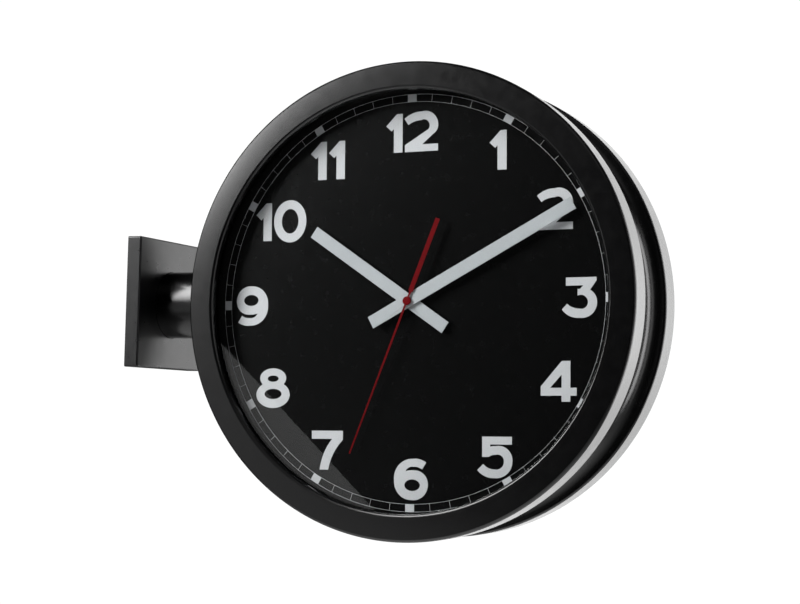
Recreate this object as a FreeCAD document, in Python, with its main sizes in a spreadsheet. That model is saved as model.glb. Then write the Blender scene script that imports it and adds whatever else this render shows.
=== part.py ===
"""Double sided station clock on a short wall bracket.

Two equal clock heads close the ends of a round, waisted centre drum, and a tube carries the drum from
a square wall plate. Each head is a case ring with a flat lens, a spacer ring, a dial, three hands and a
battery movement.

Frame: the origin is the middle of the wall plate's back face, +X points away from the wall, +Z is up,
and the front dial looks along -Y. Each head is drawn about the clock's own centre with its dial looking
along -Y, and the rear head is the same head turned half a turn about the upright line through that
centre. The dials sit a little turned in their cases, so the hands' angles count from a dial's own 12.
"""
import FreeCAD
import Part
import Sketcher
import math
import os
import re

# Driving dimensions, in millimetres and degrees.
SIZES = {
    # case and bracket as a whole
    "case_radius": 200,
    "case_depth": 128,
    "head_depth": 31,
    "clock_distance": 266,
    # case ring
    "skin": 2.5,
    "face_drop": 0.8,
    "front_round": 3.2,
    "back_round": 2.4,
    "lip_round": 3.2,
    "lip_radius": 176.6,
    "rib_skin": 2,
    "stack_radius": 190,
    "stack_play": 0.2,
    # lens, spacer ring and dial, counted back from the face
    "lens_depth": 7,
    "lens_thickness": 2.5,
    "spacer_skin": 2.5,
    "dial_depth": 22.7,
    "dial_thickness": 1,
    "dial_hole_radius": 4.1,
    "dial_turn": 1.05,
    "print_thickness": 0.15,
    "track_inner": 169.1,
    "track_outer": 175.5,
    "hairline": 0.35,
    "hour_mark_width": 7.9,
    # back plate of a head
    "plate_radius": 197.4,
    "plate_hole_radius": 48,
    "plate_thickness": 2,
    "plate_rim": 6,
    # centre drum
    "waist_radius": 185,
    "flare_radius": 197.5,
    "drum_skin": 3,
    "spigot_length": 4.6,
    "spigot_outer": 196.9,
    "spigot_inner": 194,
    "clip_thickness": 0.5,
    "clip_leg": 1.9,
    "clip_angle": 6,
    "seat_distance": 170,
    "seat_length": 18,
    "seat_half_width": 34,
    "seat_half_height": 56,
    # bracket
    "tube_radius": 30,
    "tube_wall": 2.5,
    "tube_play": 0.1,
    "flange_thickness": 4,
    "flange_half_height": 54,
    "flange_screw_across": 48,
    "flange_screw_up": 88,
    "wall_plate_width": 112,
    "wall_plate_thickness": 3,
    "wall_screw_spacing": 88,
    "wall_screw_hole": 2.75,
    "socket_length": 25,
    "socket_play": 0.1,
    "socket_wall": 3,
    "cover_width": 116,
    "cover_depth": 13.3,
    "cover_skin": 1.6,
    "cover_round": 1.5,
    "screw_radius": 2.5,
    "screw_head_radius": 4.5,
    "screw_head_height": 2.5,
    "screw_length": 12,
    "grub_length": 7,
    "tube_screw_distance": 8,
    # hands: lengths from the shaft, heights of their front faces above the dial
    "hand_width": 10.8,
    "hand_thickness": 0.8,
    "collet_radius": 4.2,
    "collet_length": 1,
    "hour_hand_reach": 107,
    "hour_hand_tail": 40,
    "hour_hand_angle": 304.8,
    "hour_hand_height": 5.6,
    "minute_hand_reach": 163,
    "minute_hand_tail": 38,
    "minute_hand_angle": 62,
    "minute_hand_height": 7.8,
    "second_hand_reach": 137.5,
    "second_hand_tail": 73.5,
    "second_hand_angle": 201.9,
    "second_hand_height": 9.4,
    "second_hand_thickness": 0.4,
    "second_tip_width": 1.2,
    "second_root_width": 1.8,
    "second_neck_length": 8.5,
    "second_tail_width": 4,
    "second_cap_radius": 3.6,
    "second_cap_height": 0.9,
    # shafts, one inside the other
    "bush_radius": 4,
    "bush_height": 3.2,
    "bush_wall": 1.3,
    "nut_across": 12,
    "nut_height": 1.8,
    "pipe_end": 0.2,
    "hour_pipe_radius": 2.62,
    "cannon_radius": 1.72,
    "second_arbor_radius": 0.75,
    "shaft_play": 0.06,
    "arbor_radius": 0.6,
    "pivot_radius": 0.45,
    "pivot_play": 0.05,
    # movement case, square, with the shaft in its middle
    "movement_width": 56,
    "movement_depth": 16,
    "movement_wall": 1.5,
    "bay_wall_height": -11.2,
    "bay_wall": 1,
    "battery_radius": 7.05,
    "battery_length": 49.5,
    "battery_tip_radius": 2.7,
    "battery_tip_length": 1,
    "battery_height": -19.35,
    "battery_level": 9.2,
    # gear train: teeth, and the places of the arbors round the shaft
    "pressure_angle": 20,
    "tooth_play": 0.12,
    "wheel_addendum": 0.5,
    "wheel_dedendum": 1.15,
    "leaf_addendum": 0.9,
    "leaf_dedendum": 0.75,
    "wheel_thickness": 0.8,
    "pinion_thickness": 1.4,
    "rotor_teeth": 12,
    "intermediate_teeth": 60,
    "intermediate_leaves": 10,
    "second_teeth": 60,
    "second_leaves": 8,
    "third_teeth": 60,
    "third_leaves": 8,
    "centre_teeth": 64,
    "cannon_leaves": 12,
    "motion_teeth": 36,
    "motion_leaves": 10,
    "hour_teeth": 40,
    "rotor_spacing": 10.8,
    "rotor_bearing": 20,
    "intermediate_spacing": 11.2,
    "intermediate_bearing": 60,
    "third_spacing": 10.8,
    "third_bearing": 160,
    "motion_spacing": 11.5,
    "motion_bearing": 0,
    "motion_arbor_radius": 1,
    # levels of the wheels behind the dial
    "hour_level": 2.4,
    "motion_level": 4.2,
    "centre_level": 6,
    "third_level": 8.2,
    "second_level": 10.2,
    "intermediate_level": 12.3,
    "rotor_level": 8,
    "end_play": 0.1,
    "rotor_post_radius": 1.5,
    "rotor_post_height": 5.6,
    "magnet_radius": 3,
    "magnet_length": 2.8,
    "knob_radius": 7,
    "knob_height": 4,
    "knob_gap": 0.6,
    "knob_grips": 12,
    "grip_radius": 1.2,
    "grip_distance": 7.6,
    # stepping motor and circuit
    "stator_thickness": 1.2,
    "stator_bore": 3.6,
    "core_height": 21.8,
    "core_width": 2.4,
    "core_half_length": 19,
    "coil_radius": 3.4,
    "pole_left": 10,
    "pole_right": 21.5,
    "pole_low": 8.5,
    "coil_start": -14,
    "coil_end": 7,
    "board_left": -26.2,
    "board_width": 5,
    "board_low": -10,
    "board_high": 18,
    "board_thickness": 1,
    "board_level": 5,
    "chip_width": 3.4,
    "chip_height": 6,
    "chip_thickness": 1,
    "chip_rise": 2,
    "crystal_radius": 1,
    "crystal_length": 6,
    "contact_thickness": 0.5,
    "contact_half_width": 4.5,
}

# Middle of each numeral on the dial, right and up from the shaft.
NUMERAL_PLACES = {
    1: (77, 124),
    2: (126.5, 72.5),
    3: (147, 0),
    4: (129.5, -67.5),
    5: (75, -129),
    6: (1, -148.5),
    7: (-76, -125),
    8: (-128, -72.5),
    9: (-149, -0.5),
    10: (-122, 72),
    11: (-78, 123),
    12: (0, 143),
}

doc = FreeCAD.newDocument("station_clock")
sheet = doc.addObject("Spreadsheet::Sheet", "Sizes")
for row, (name, number) in enumerate(SIZES.items(), start=1):
    sheet.set(f"A{row}", name)
    sheet.set(f"B{row}", str(number))
    sheet.setAlias(f"B{row}", name)
doc.recompute()

NAME = re.compile(r"[a-z][a-z_0-9]*(?![a-z_0-9(])")
nodes = []


def bound(text):
    """The expression with each size's name pointing at its cell."""
    return NAME.sub(lambda match: "Sizes." + match.group(0), str(text))


def value(text):
    """What an expression comes to now."""
    return float(sheet.evalExpression(bound(text)))


def bind(item, **properties):
    """Bind properties of an object; a double underscore stands for a dot."""
    for path, text in properties.items():
        item.setExpression("." + path.replace("__", "."), bound(text))


# Places along Y in a head's own frame, counted back from the face.
FACE = "(-case_depth / 2)"
FACE_BACK = f"({FACE} + face_drop + skin)"
HEAD_BACK = f"({FACE} + head_depth)"
LENS_FRONT = f"({FACE} + lens_depth)"
LENS_BACK = f"({LENS_FRONT} + lens_thickness)"
DIAL_FRONT = f"({FACE} + dial_depth)"
DIAL_BACK = f"({DIAL_FRONT} + dial_thickness)"
PLATE_BACK = f"({DIAL_BACK} + plate_thickness)"
HALF_WAIST = "(case_depth / 2 - head_depth)"
CASE_BACK = f"({DIAL_BACK} + movement_depth)"
COVER_FRONT = f"({CASE_BACK} - movement_wall)"


def behind(level):
    """Y of a level behind the dial."""
    return f"({DIAL_BACK} + {level})"


def above(height):
    """Y of a height in front of the dial."""
    return f"({DIAL_FRONT} - ({height}))"


# ---------------------------------------------------------------- sketches and features


def body(label):
    return doc.addObject("PartDesign::Body", label)


def sketch(owner, name, plane, offset="0"):
    """A sketch on one of the body's own planes, shifted along that plane's normal."""
    item = owner.newObject("Sketcher::SketchObject", name)
    support = [piece for piece in owner.Origin.OriginFeatures if piece.Role == plane]
    item.AttachmentSupport = [(support[0], "")]
    item.MapMode = "FlatFace"
    bind(item, AttachmentOffset__Base__z=offset)
    return item


def fix_point(item, geometry, end, across, up):
    """Dimension one end of a line or arc from the sketch's origin."""
    for kind, text in (("DistanceX", across), ("DistanceY", up)):
        index = item.addConstraint(Sketcher.Constraint(kind, -1, 1, geometry, end, value(text)))
        item.setExpression(f"Constraints[{index}]", bound(text))


def arc_between(start, finish, radius, side):
    """Arc from start to finish, with its centre left of the way (side 1) or right of it (side -1)."""
    chord = finish - start
    middle = (start + finish) * 0.5
    height = math.sqrt(max(radius ** 2 - (chord.Length / 2) ** 2, 0))
    normal = FreeCAD.Vector(-chord.y, chord.x, 0).normalize()
    centre = middle + normal * (height * side)
    first, last = (start, finish) if side > 0 else (finish, start)
    angles = [math.atan2(point.y - centre.y, point.x - centre.x) for point in (first, last)]
    if angles[1] < angles[0]:
        angles[1] += 2 * math.pi
    return Part.ArcOfCircle(Part.Circle(centre, FreeCAD.Vector(0, 0, 1), radius), angles[0], angles[1])


def outline(item, corners, arcs=None):
    """Closed outline through the corners. arcs: corner's index -> (radius, side) of the arc from it."""
    arcs = arcs or {}
    points = [FreeCAD.Vector(value(across), value(up), 0) for across, up in corners]
    ends = []
    first = item.GeometryCount
    for index, start in enumerate(points):
        finish = points[(index + 1) % len(points)]
        if index in arcs:
            radius, side = arcs[index]
            item.addGeometry(arc_between(start, finish, value(radius), side))
            ends.append((1, 2) if side > 0 else (2, 1))
        else:
            item.addGeometry(Part.LineSegment(start, finish))
            ends.append((1, 2))
    for index in range(len(points)):
        after = (index + 1) % len(points)
        item.addConstraint(Sketcher.Constraint("Coincident", first + index, ends[index][1],
                                               first + after, ends[after][0]))
    for index, (across, up) in enumerate(corners):
        fix_point(item, first + index, ends[index][0], across, up)
    for index, (radius, _) in arcs.items():
        number = item.addConstraint(Sketcher.Constraint("Radius", first + index, value(radius)))
        item.setExpression(f"Constraints[{number}]", bound(radius))


def ring(item, radius, across="0", up="0"):
    """Circle with a dimensioned centre and radius."""
    centre = FreeCAD.Vector(value(across), value(up), 0)
    index = item.addGeometry(Part.Circle(centre, FreeCAD.Vector(0, 0, 1), value(radius)))
    fix_point(item, index, 3, across, up)
    number = item.addConstraint(Sketcher.Constraint("Radius", index, value(radius)))
    item.setExpression(f"Constraints[{number}]", bound(radius))


def turned(label, corners, arcs=None, angle="360"):
    """Body turned about the Y axis from a section given as (radius, y)."""
    owner = body(label)
    profile = sketch(owner, label + "_section", "XY_Plane")
    outline(profile, corners, arcs)
    feature = owner.newObject("PartDesign::Revolution", label + "_turn")
    feature.Profile = profile
    feature.ReferenceAxis = (profile, ["V_Axis"])
    bind(feature, Angle=angle)
    return owner


def pad(owner, name, plane, start, length, draw, cut=False):
    """Pad or pocket from a plane's offset, along the plane's normal for that length."""
    profile = sketch(owner, name + "_sketch", plane, start)
    draw(profile)
    feature = owner.newObject("PartDesign::Pocket" if cut else "PartDesign::Pad", name)
    feature.Profile = profile
    if cut:
        feature.Reversed = True
    bind(feature, Length=length)
    return feature


def rectangle(item, left, right, low, high):
    outline(item, [(left, low), (right, low), (right, high), (left, high)])


# ---------------------------------------------------------------- primitives


def block(name, x, y, z):
    """Box between pairs of places."""
    item = doc.addObject("Part::Box", name)
    bind(item, Length=f"({x[1]}) - ({x[0]})", Width=f"({y[1]}) - ({y[0]})", Height=f"({z[1]}) - ({z[0]})",
         Placement__Base__x=x[0], Placement__Base__y=y[0], Placement__Base__z=z[0])
    return item


def rod(name, radius, y, x="0", z="0"):
    """Cylinder along Y between two places."""
    item = doc.addObject("Part::Cylinder", name)
    item.Placement = FreeCAD.Placement(FreeCAD.Vector(), FreeCAD.Rotation(FreeCAD.Vector(1, 0, 0), -90))
    bind(item, Radius=radius, Height=f"({y[1]}) - ({y[0]})",
         Placement__Base__x=x, Placement__Base__y=y[0], Placement__Base__z=z)
    return item


def rod_x(name, radius, x, y="0", z="0"):
    """Cylinder along X between two places."""
    item = doc.addObject("Part::Cylinder", name)
    item.Placement = FreeCAD.Placement(FreeCAD.Vector(), FreeCAD.Rotation(FreeCAD.Vector(0, 1, 0), 90))
    bind(item, Radius=radius, Height=f"({x[1]}) - ({x[0]})",
         Placement__Base__x=x[0], Placement__Base__y=y, Placement__Base__z=z)
    return item


def fused(label, pieces):
    item = doc.addObject("Part::MultiFuse", label)
    item.Shapes = pieces
    return item


def cut(label, base, tools):
    item = doc.addObject("Part::Cut", label)
    item.Base = base
    item.Tool = tools[0] if len(tools) == 1 else fused(label + "_tools", tools)
    return item


def common(label, base, tool):
    item = doc.addObject("Part::Common", label)
    item.Base = base
    item.Tool = tool
    return item


def group(label, pieces):
    item = doc.addObject("Part::Compound", label)
    item.Links = pieces
    return item


def keep(item, label, side=None):
    """Count an object as a piece, and put a head's piece in its place on the clock."""
    item.Label = label
    if side is not None:
        turn = 180 if side == "rear" else 0
        item.Placement = FreeCAD.Placement(FreeCAD.Vector(), FreeCAD.Rotation(FreeCAD.Vector(0, 0, 1), turn))
        bind(item, Placement__Base__x="clock_distance")
    nodes.append(item)


# ---------------------------------------------------------------- bracket and drum


def centred_square(width):
    return lambda item: rectangle(item, f"-{width} / 2", f"{width} / 2", f"-{width} / 2", f"{width} / 2")


def upright(name, radius, low, high, across):
    """Cylinder along Z between two heights."""
    item = doc.addObject("Part::Cylinder", name)
    bind(item, Radius=radius, Height=f"({high}) - ({low})",
         Placement__Base__x=across, Placement__Base__z=low)
    return item


SOCKET_RADIUS = "(tube_radius - tube_wall - socket_play)"
TUBE_SCREW_X = "(wall_plate_thickness + tube_screw_distance)"
SEAT_X = "(clock_distance - seat_distance)"
TUBE_END = f"({SEAT_X} + flange_thickness)"


def wall_plate():
    """Square steel plate with a round socket that the tube slides over."""
    owner = body("wall_plate_body")
    pad(owner, "plate_slab", "YZ_Plane", "0", "wall_plate_thickness", centred_square("wall_plate_width"))

    def socket(item):
        ring(item, SOCKET_RADIUS)
        ring(item, f"{SOCKET_RADIUS} - socket_wall")

    def holes(item):
        for across in (-1, 1):
            for up in (-1, 1):
                ring(item, "wall_screw_hole", f"{across} * wall_screw_spacing / 2",
                     f"{up} * wall_screw_spacing / 2")

    pad(owner, "plate_socket", "YZ_Plane", "wall_plate_thickness", "socket_length", socket)
    pad(owner, "plate_holes", "YZ_Plane", "0", "wall_plate_thickness", holes, cut=True)
    tapped = upright("plate_tapped_holes", "screw_radius", "-tube_radius", "tube_radius", TUBE_SCREW_X)
    keep(cut("wall_plate_drilled", owner, [tapped]), "wall_plate")


def plate_cover():
    """Square cap over the wall plate, open at the back, with a round opening for the tube."""
    owner = body("cover_body")
    pad(owner, "cover_block", "YZ_Plane", "0", "cover_depth", centred_square("cover_width"))
    doc.recompute()
    depth = value("cover_depth")
    half = value("cover_width / 2")
    edges = []
    for number, edge in enumerate(owner.Shape.Edges, start=1):
        middle = edge.CenterOfMass
        if middle.x > depth / 4 and max(abs(middle.y), abs(middle.z)) > half - 0.01:
            edges.append(f"Edge{number}")
    rounding = owner.newObject("PartDesign::Fillet", "cover_rounding")
    rounding.Base = (doc.getObject("cover_block"), edges)
    bind(rounding, Radius="cover_round")
    pad(owner, "cover_hollow", "YZ_Plane", "0", "cover_depth - cover_skin",
        centred_square("(cover_width - 2 * cover_skin)"), cut=True)
    pad(owner, "cover_opening", "YZ_Plane", "0", "cover_depth",
        lambda item: ring(item, "tube_radius + tube_play"), cut=True)
    keep(owner, "plate_cover")


def bracket_tube():
    outer = rod_x("tube_outer", "tube_radius", ("wall_plate_thickness", TUBE_END))
    inner = rod_x("tube_inner", "tube_radius - tube_wall", ("0", f"{TUBE_END} + 1"))
    holes = upright("tube_screw_holes", "screw_radius", "-tube_radius - 1", "tube_radius + 1", TUBE_SCREW_X)
    keep(cut("tube_drilled", outer, [inner, holes]), "bracket_tube")


def flange_screw_places():
    for across in (-1, 1):
        for up in (-1, 1):
            yield f"{across} * flange_screw_across / 2", f"{up} * flange_screw_up / 2"


def tube_flange():
    """Plate round the tube's inner end, which draws the tube against the drum's seat."""
    slab = block("flange_slab", (SEAT_X, TUBE_END), ("-seat_half_width", "seat_half_width"),
                 ("-flange_half_height", "flange_half_height"))
    tools = [rod_x("flange_opening", "tube_radius", (f"{SEAT_X} - 1", f"{TUBE_END} + 1"))]
    for number, (across, up) in enumerate(flange_screw_places()):
        tools.append(rod_x(f"flange_hole_{number}", "screw_radius", (f"{SEAT_X} - 1", f"{TUBE_END} + 1"),
                           across, up))
    keep(cut("flange_drilled", slab, tools), "tube_flange")


def bracket_screws():
    """Four screws hold the flange to the drum's seat, and two hold the tube on the wall plate's socket."""
    screws = []
    for number, (across, up) in enumerate(flange_screw_places()):
        shank = rod_x(f"screw_shank_{number}", "screw_radius", (f"{TUBE_END} - screw_length", TUBE_END),
                      across, up)
        head = rod_x(f"screw_head_{number}", "screw_head_radius",
                     (TUBE_END, f"{TUBE_END} + screw_head_height"), across, up)
        screws.append(fused(f"flange_screw_{number}", [shank, head]))
    for number, end in enumerate((-1, 1)):
        screws.append(upright(f"tube_screw_{number}", "screw_radius",
                              f"{end} * (tube_radius - grub_length / 2) - grub_length / 2",
                              f"{end} * (tube_radius - grub_length / 2) + grub_length / 2", TUBE_SCREW_X))
    keep(group("bracket_screw_set", screws), "bracket_screws")


def centre_drum():
    """Waisted ring between the heads, with a spigot at each end and a seat for the tube inside."""
    cove = "(flare_radius - waist_radius)"
    flat = f"({HALF_WAIST} - {cove})"
    spigot_end = f"({HALF_WAIST} + spigot_length)"
    inner_corner = f"({flat} + sqrt(({cove} + drum_skin) ^ 2 - (flare_radius - spigot_inner) ^ 2))"
    corners = [
        ("spigot_inner", f"-{spigot_end}"),
        ("spigot_outer", f"-{spigot_end}"),
        ("spigot_outer", f"-{HALF_WAIST}"),
        ("flare_radius", f"-{HALF_WAIST}"),
        ("waist_radius", f"-{flat}"),
        ("waist_radius", flat),
        ("flare_radius", HALF_WAIST),
        ("spigot_outer", HALF_WAIST),
        ("spigot_outer", spigot_end),
        ("spigot_inner", spigot_end),
        ("spigot_inner", inner_corner),
        ("waist_radius - drum_skin", flat),
        ("waist_radius - drum_skin", f"-{flat}"),
        ("spigot_inner", f"-{inner_corner}"),
    ]
    arcs = {3: (cove, -1), 5: (cove, -1), 10: (f"{cove} + drum_skin", 1), 12: (f"{cove} + drum_skin", 1)}
    shell = turned("drum_shell", corners, arcs)
    bind(shell, Placement__Base__x="clock_distance")
    seat = block("drum_seat_block", (f"{SEAT_X} - seat_length", SEAT_X),
                 ("-seat_half_width", "seat_half_width"), ("-seat_half_height", "seat_half_height"))
    round_limit = rod("drum_round", "waist_radius - 1", ("-seat_half_width", "seat_half_width"),
                      "clock_distance")
    whole = fused("drum_with_seat", [shell, common("drum_seat", seat, round_limit)])
    span = (f"{SEAT_X} - 2 * seat_length", f"{SEAT_X} + 1")
    tools = [rod_x("drum_tube_hole", "tube_radius + tube_play", span)]
    for number, (across, up) in enumerate(flange_screw_places()):
        tools.append(rod_x(f"drum_screw_hole_{number}", "screw_radius",
                           (f"{TUBE_END} - screw_length", f"{SEAT_X} + 1"), across, up))
    keep(cut("drum_drilled", whole, tools), "centre_drum")


def retaining_clips():
    """Four spring clips over each spigot's edge, which rub inside the heads' case rings."""
    edge = f"({HALF_WAIST} + spigot_length)"
    root = f"({edge} - clip_leg)"
    corners = [
        ("spigot_inner - clip_thickness", root),
        ("spigot_inner - clip_thickness", f"{edge} + clip_thickness"),
        ("spigot_outer + clip_thickness", f"{edge} + clip_thickness"),
        ("spigot_outer + clip_thickness", root),
        ("spigot_outer", root),
        ("spigot_outer", edge),
        ("spigot_inner", edge),
        ("spigot_inner", root),
    ]
    clips = []
    for end in (0, 180):
        for number in range(4):
            clip = turned(f"clip_{end}_{number}", corners, angle="clip_angle")
            spin = FreeCAD.Rotation(FreeCAD.Vector(0, 1, 0), 90 * number + value("45 - clip_angle / 2"))
            side_turn = FreeCAD.Rotation(FreeCAD.Vector(0, 0, 1), end)
            clip.Placement = FreeCAD.Placement(FreeCAD.Vector(), side_turn * spin)
            bind(clip, Placement__Base__x="clock_distance")
            clips.append(clip)
    keep(group("clip_set", clips), "retaining_clips")


# ---------------------------------------------------------------- case and dial of a head


def bezel(side):
    """Case ring: face, outer skirt, inner lip, and a rib that keeps lens, spacer and dial centred."""
    label = side + "_bezel"
    face = f"({FACE} + face_drop)"
    rib_inner = "(stack_radius + stack_play)"
    corners = [
        ("lip_radius + lip_round", FACE),
        ("case_radius - front_round", face),
        ("case_radius", f"{face} + front_round"),
        ("case_radius", f"{HEAD_BACK} - back_round"),
        ("case_radius - back_round", HEAD_BACK),
        ("case_radius - skin", HEAD_BACK),
        ("case_radius - skin", FACE_BACK),
        (f"{rib_inner} + rib_skin", FACE_BACK),
        (f"{rib_inner} + rib_skin", DIAL_BACK),
        (rib_inner, DIAL_BACK),
        (rib_inner, FACE_BACK),
        ("lip_radius + skin", FACE_BACK),
        ("lip_radius + skin", LENS_FRONT),
        ("lip_radius", LENS_FRONT),
        ("lip_radius", f"{FACE} + lip_round"),
    ]
    arcs = {1: ("front_round", 1), 3: ("back_round", 1), 14: ("lip_round", -1)}
    keep(turned(label + "_body", corners, arcs), label, side)


def flat_ring(side, name, inner, outer, front, back):
    """Plain ring or disc between two radii and two depths."""
    corners = [(inner, front), (outer, front), (outer, back), (inner, back)]
    keep(turned(f"{side}_{name}_body", corners), f"{side}_{name}", side)


def back_plate(side):
    """Moulded plate that closes the head behind the dial, with a rimmed opening round the movement."""
    label = side + "_back_plate"
    rim = f"({PLATE_BACK} + plate_rim)"
    corners = [
        ("plate_hole_radius", DIAL_BACK),
        ("plate_radius", DIAL_BACK),
        ("plate_radius", PLATE_BACK),
        ("plate_hole_radius + plate_thickness", PLATE_BACK),
        ("plate_hole_radius + plate_thickness", rim),
        ("plate_hole_radius", rim),
    ]
    keep(turned(label + "_body", corners), label, side)


def path(start, *steps):
    """Closed wire in the dial's plane. A step is a corner, or a point on an arc and the arc's end."""
    here = FreeCAD.Vector(start[0], 0, start[1])
    edges = []
    for step in steps + (start,):
        there = FreeCAD.Vector(step[-2], 0, step[-1])
        if len(step) == 4:
            edges.append(Part.Arc(here, FreeCAD.Vector(step[0], 0, step[1]), there).toShape())
        else:
            edges.append(Part.LineSegment(here, there).toShape())
        here = there
    return Part.Face(Part.Wire(edges))


def oval(across, up, half_width, half_height):
    """Ellipse-shaped face in the dial's plane."""
    wide = half_width >= half_height
    axis = FreeCAD.Vector(1, 0, 0) if wide else FreeCAD.Vector(0, 0, 1)
    ellipse = Part.Ellipse(FreeCAD.Vector(), max(half_width, half_height), min(half_width, half_height))
    other = FreeCAD.Vector(0, 0, 1) if wide else FreeCAD.Vector(-1, 0, 0)
    edge = ellipse.toShape()
    turn = FreeCAD.Rotation(axis, other, FreeCAD.Vector(), "XYZ")
    edge.Placement = FreeCAD.Placement(FreeCAD.Vector(across, 0, up), turn)
    return Part.Face(Part.Wire([edge]))


def digit_shapes():
    """Faces of the ten digits and their widths, each on the baseline with its left side at zero."""
    six_counter = oval(16.3, 11.7, 7, 4.8)
    six = path((28.8, 30.6), (23.4, 33.2, 16.8, 33.6), (4.8, 29, 0, 15.6), (4.3, 4, 15.6, -0.6),
               (26.4, 2.9, 30.4, 11.9), (27, 20.6, 18.2, 24), (13.8, 24, 10.2, 23.2),
               (13, 26.2, 17.6, 27), (21.6, 26.6, 25.2, 24.9)).cut(six_counter)
    nine = six.copy()
    nine.rotate(FreeCAD.Vector(15.2, 0, 16.4), FreeCAD.Vector(0, 1, 0), 180)
    eight = oval(16, 11.2, 16, 11.5).fuse(oval(16, 25.4, 12.5, 8.5)).removeSplitter()
    eight = eight.cut(oval(16, 25, 5.3, 2.7)).cut(oval(16, 11.8, 8.2, 4.4))
    return {
        "0": (oval(15.5, 16.5, 15.5, 18.4).cut(oval(15.5, 16.5, 8, 10.7)), 31),
        "1": (path((7, 0), (15, 0), (15, 33), (9.8, 33), (0, 23), (4.9, 18.4), (7, 20.5)), 15),
        "2": (path((0, 0), (30, 0), (30, 6), (15.7, 6), (25.6, 14.4), (29.6, 18.9, 30, 23.6),
                   (25.8, 31.4, 15, 33.9), (6.6, 32.6, -0.5, 28.4), (3.1, 23), (8.2, 25.6, 14.6, 26.5),
                   (20.8, 25.6, 22.3, 22.4), (22, 19.8, 19.6, 17.6), (0, 6)), 30),
        "3": (path((3.4, 33), (29.1, 33), (29.1, 30.2), (23.8, 22.7), (28, 18.6, 29.6, 12.8),
                   (25.6, 3.4, 15, 0.2), (6.6, 1.7, 0, 7.2), (4.4, 11.8), (9.2, 8.7, 15, 7.6),
                   (20.4, 9, 22, 12.9), (20.2, 17, 13.3, 18.2), (13.3, 23.6), (15.4, 23.6), (18, 26.4),
                   (3.4, 26.4)), 29.6),
        "4": (path((17.7, 0), (25.1, 0), (25.1, 4.9), (30.4, 4.9), (30.4, 11.3), (25.1, 11.3), (25.1, 33),
                   (17.9, 33), (0, 12.4), (0, 4.9), (17.7, 4.9)).cut(path((8, 11.3), (17.7, 22),
                                                                         (17.7, 11.3))), 30.4),
        "5": (path((4.2, 33), (4.2, 16.4), (10, 16.4), (12.6, 17.8, 16, 18.2), (21.4, 17, 23.1, 12.7),
                   (21, 7.8, 15.2, 6.3), (9.6, 7.4, 5.2, 10.6), (0, 5.6), (6.4, 0.8, 14.8, -0.8),
                   (26, 2.9, 30.5, 12.7), (26.6, 22.4, 16, 25.3), (13.4, 25.2, 11.2, 24.8), (11.2, 26.6),
                   (30, 26.6), (30, 33)), 30.5),
        "6": (six, 30.4),
        "7": (path((0, 33), (29, 33), (29, 25.3), (21, 15, 15.6, 0), (7.6, 0), (12.3, 15.8, 19, 26.1),
                   (0, 26.1)), 29),
        "8": (eight, 32),
        "9": (nine, 30.4),
    }


DIGIT_GAP = 2.2
DIGIT_HEIGHT = 33


def numeral(number, digits):
    """Solids of one hour's numeral, centred on its place."""
    text = str(number)
    width = sum(digits[mark][1] for mark in text) + DIGIT_GAP * (len(text) - 1)
    across = NUMERAL_PLACES[number][0] - width / 2
    baseline = NUMERAL_PLACES[number][1] - DIGIT_HEIGHT / 2
    solids = []
    for mark in text:
        face, advance = digits[mark]
        face = face.copy()
        face.translate(FreeCAD.Vector(across, value(DIAL_FRONT), baseline))
        solids.append(face.extrude(FreeCAD.Vector(0, -value("print_thickness"), 0)))
        across += advance + DIGIT_GAP
    return solids


def minute_track():
    """Two hairline rings with a tick for every minute and a square for every hour."""
    inner = value("track_inner")
    outer = value("track_outer")
    line = value("hairline")
    front = value(DIAL_FRONT) - value("print_thickness")
    thickness = value("print_thickness")
    along = FreeCAD.Vector(0, 1, 0)
    origin = FreeCAD.Vector(0, front, 0)

    def hairline_ring(radius):
        disc = Part.makeCylinder(radius + line / 2, thickness, origin, along)
        return disc.cut(Part.makeCylinder(radius - line / 2, thickness, origin, along))

    pieces = [hairline_ring(inner), hairline_ring(outer)]
    for minute in range(60):
        width = value("hour_mark_width") if minute % 5 == 0 else line
        corner = FreeCAD.Vector(-width / 2, front, inner - line / 2)
        mark = Part.makeBox(width, thickness, outer - inner + line, corner)
        mark.rotate(FreeCAD.Vector(), along, 6 * minute)
        pieces.append(mark)
    return pieces[0].multiFuse(pieces[1:])


def dial_markings(side):
    """White print of the dial, turned with it: hour numerals and minute track."""
    digits = digit_shapes()
    solids = [minute_track()]
    for number in NUMERAL_PLACES:
        solids.extend(numeral(number, digits))
    item = doc.addObject("Part::Feature", side + "_dial_markings_print")
    print_shape = Part.makeCompound(solids)
    print_shape.rotate(FreeCAD.Vector(), FreeCAD.Vector(0, 1, 0), -value("dial_turn"))
    item.Shape = print_shape
    keep(item, side + "_dial_markings", side)


# ---------------------------------------------------------------- hands


def turn_about_shaft(item, reading):
    """Point a piece drawn upright at a reading of the dial, in degrees clockwise from its 12."""
    angle = f"{reading} - dial_turn"
    turn = FreeCAD.Rotation(FreeCAD.Vector(0, 1, 0), value(angle))
    item.Placement = FreeCAD.Placement(FreeCAD.Vector(), turn)
    bind(item, Placement__Rotation__Angle=angle)


def bar_hand(side, name, reach, tail, height, angle, pipe):
    """Straight hand with square ends, on a collet that grips its pipe."""
    label = f"{side}_{name}"
    owner = body(label + "_blade")
    half = "hand_width / 2"
    pad(owner, label + "_bar", "XZ_Plane", f"-({above(height)}) - hand_thickness", "hand_thickness",
        lambda item: rectangle(item, f"-{half}", half, f"-{tail}", reach))
    turn_about_shaft(owner, angle)
    root = above(f"{height} - hand_thickness - collet_length")
    collet = rod(label + "_collet", "collet_radius", (above(f"{height} - hand_thickness / 2"), root))
    hole = rod(label + "_hole", pipe, (above(f"{height} + 1"), f"{root} + 1"))
    keep(cut(label + "_drilled", fused(label + "_whole", [owner, collet]), [hole]), label, side)


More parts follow.
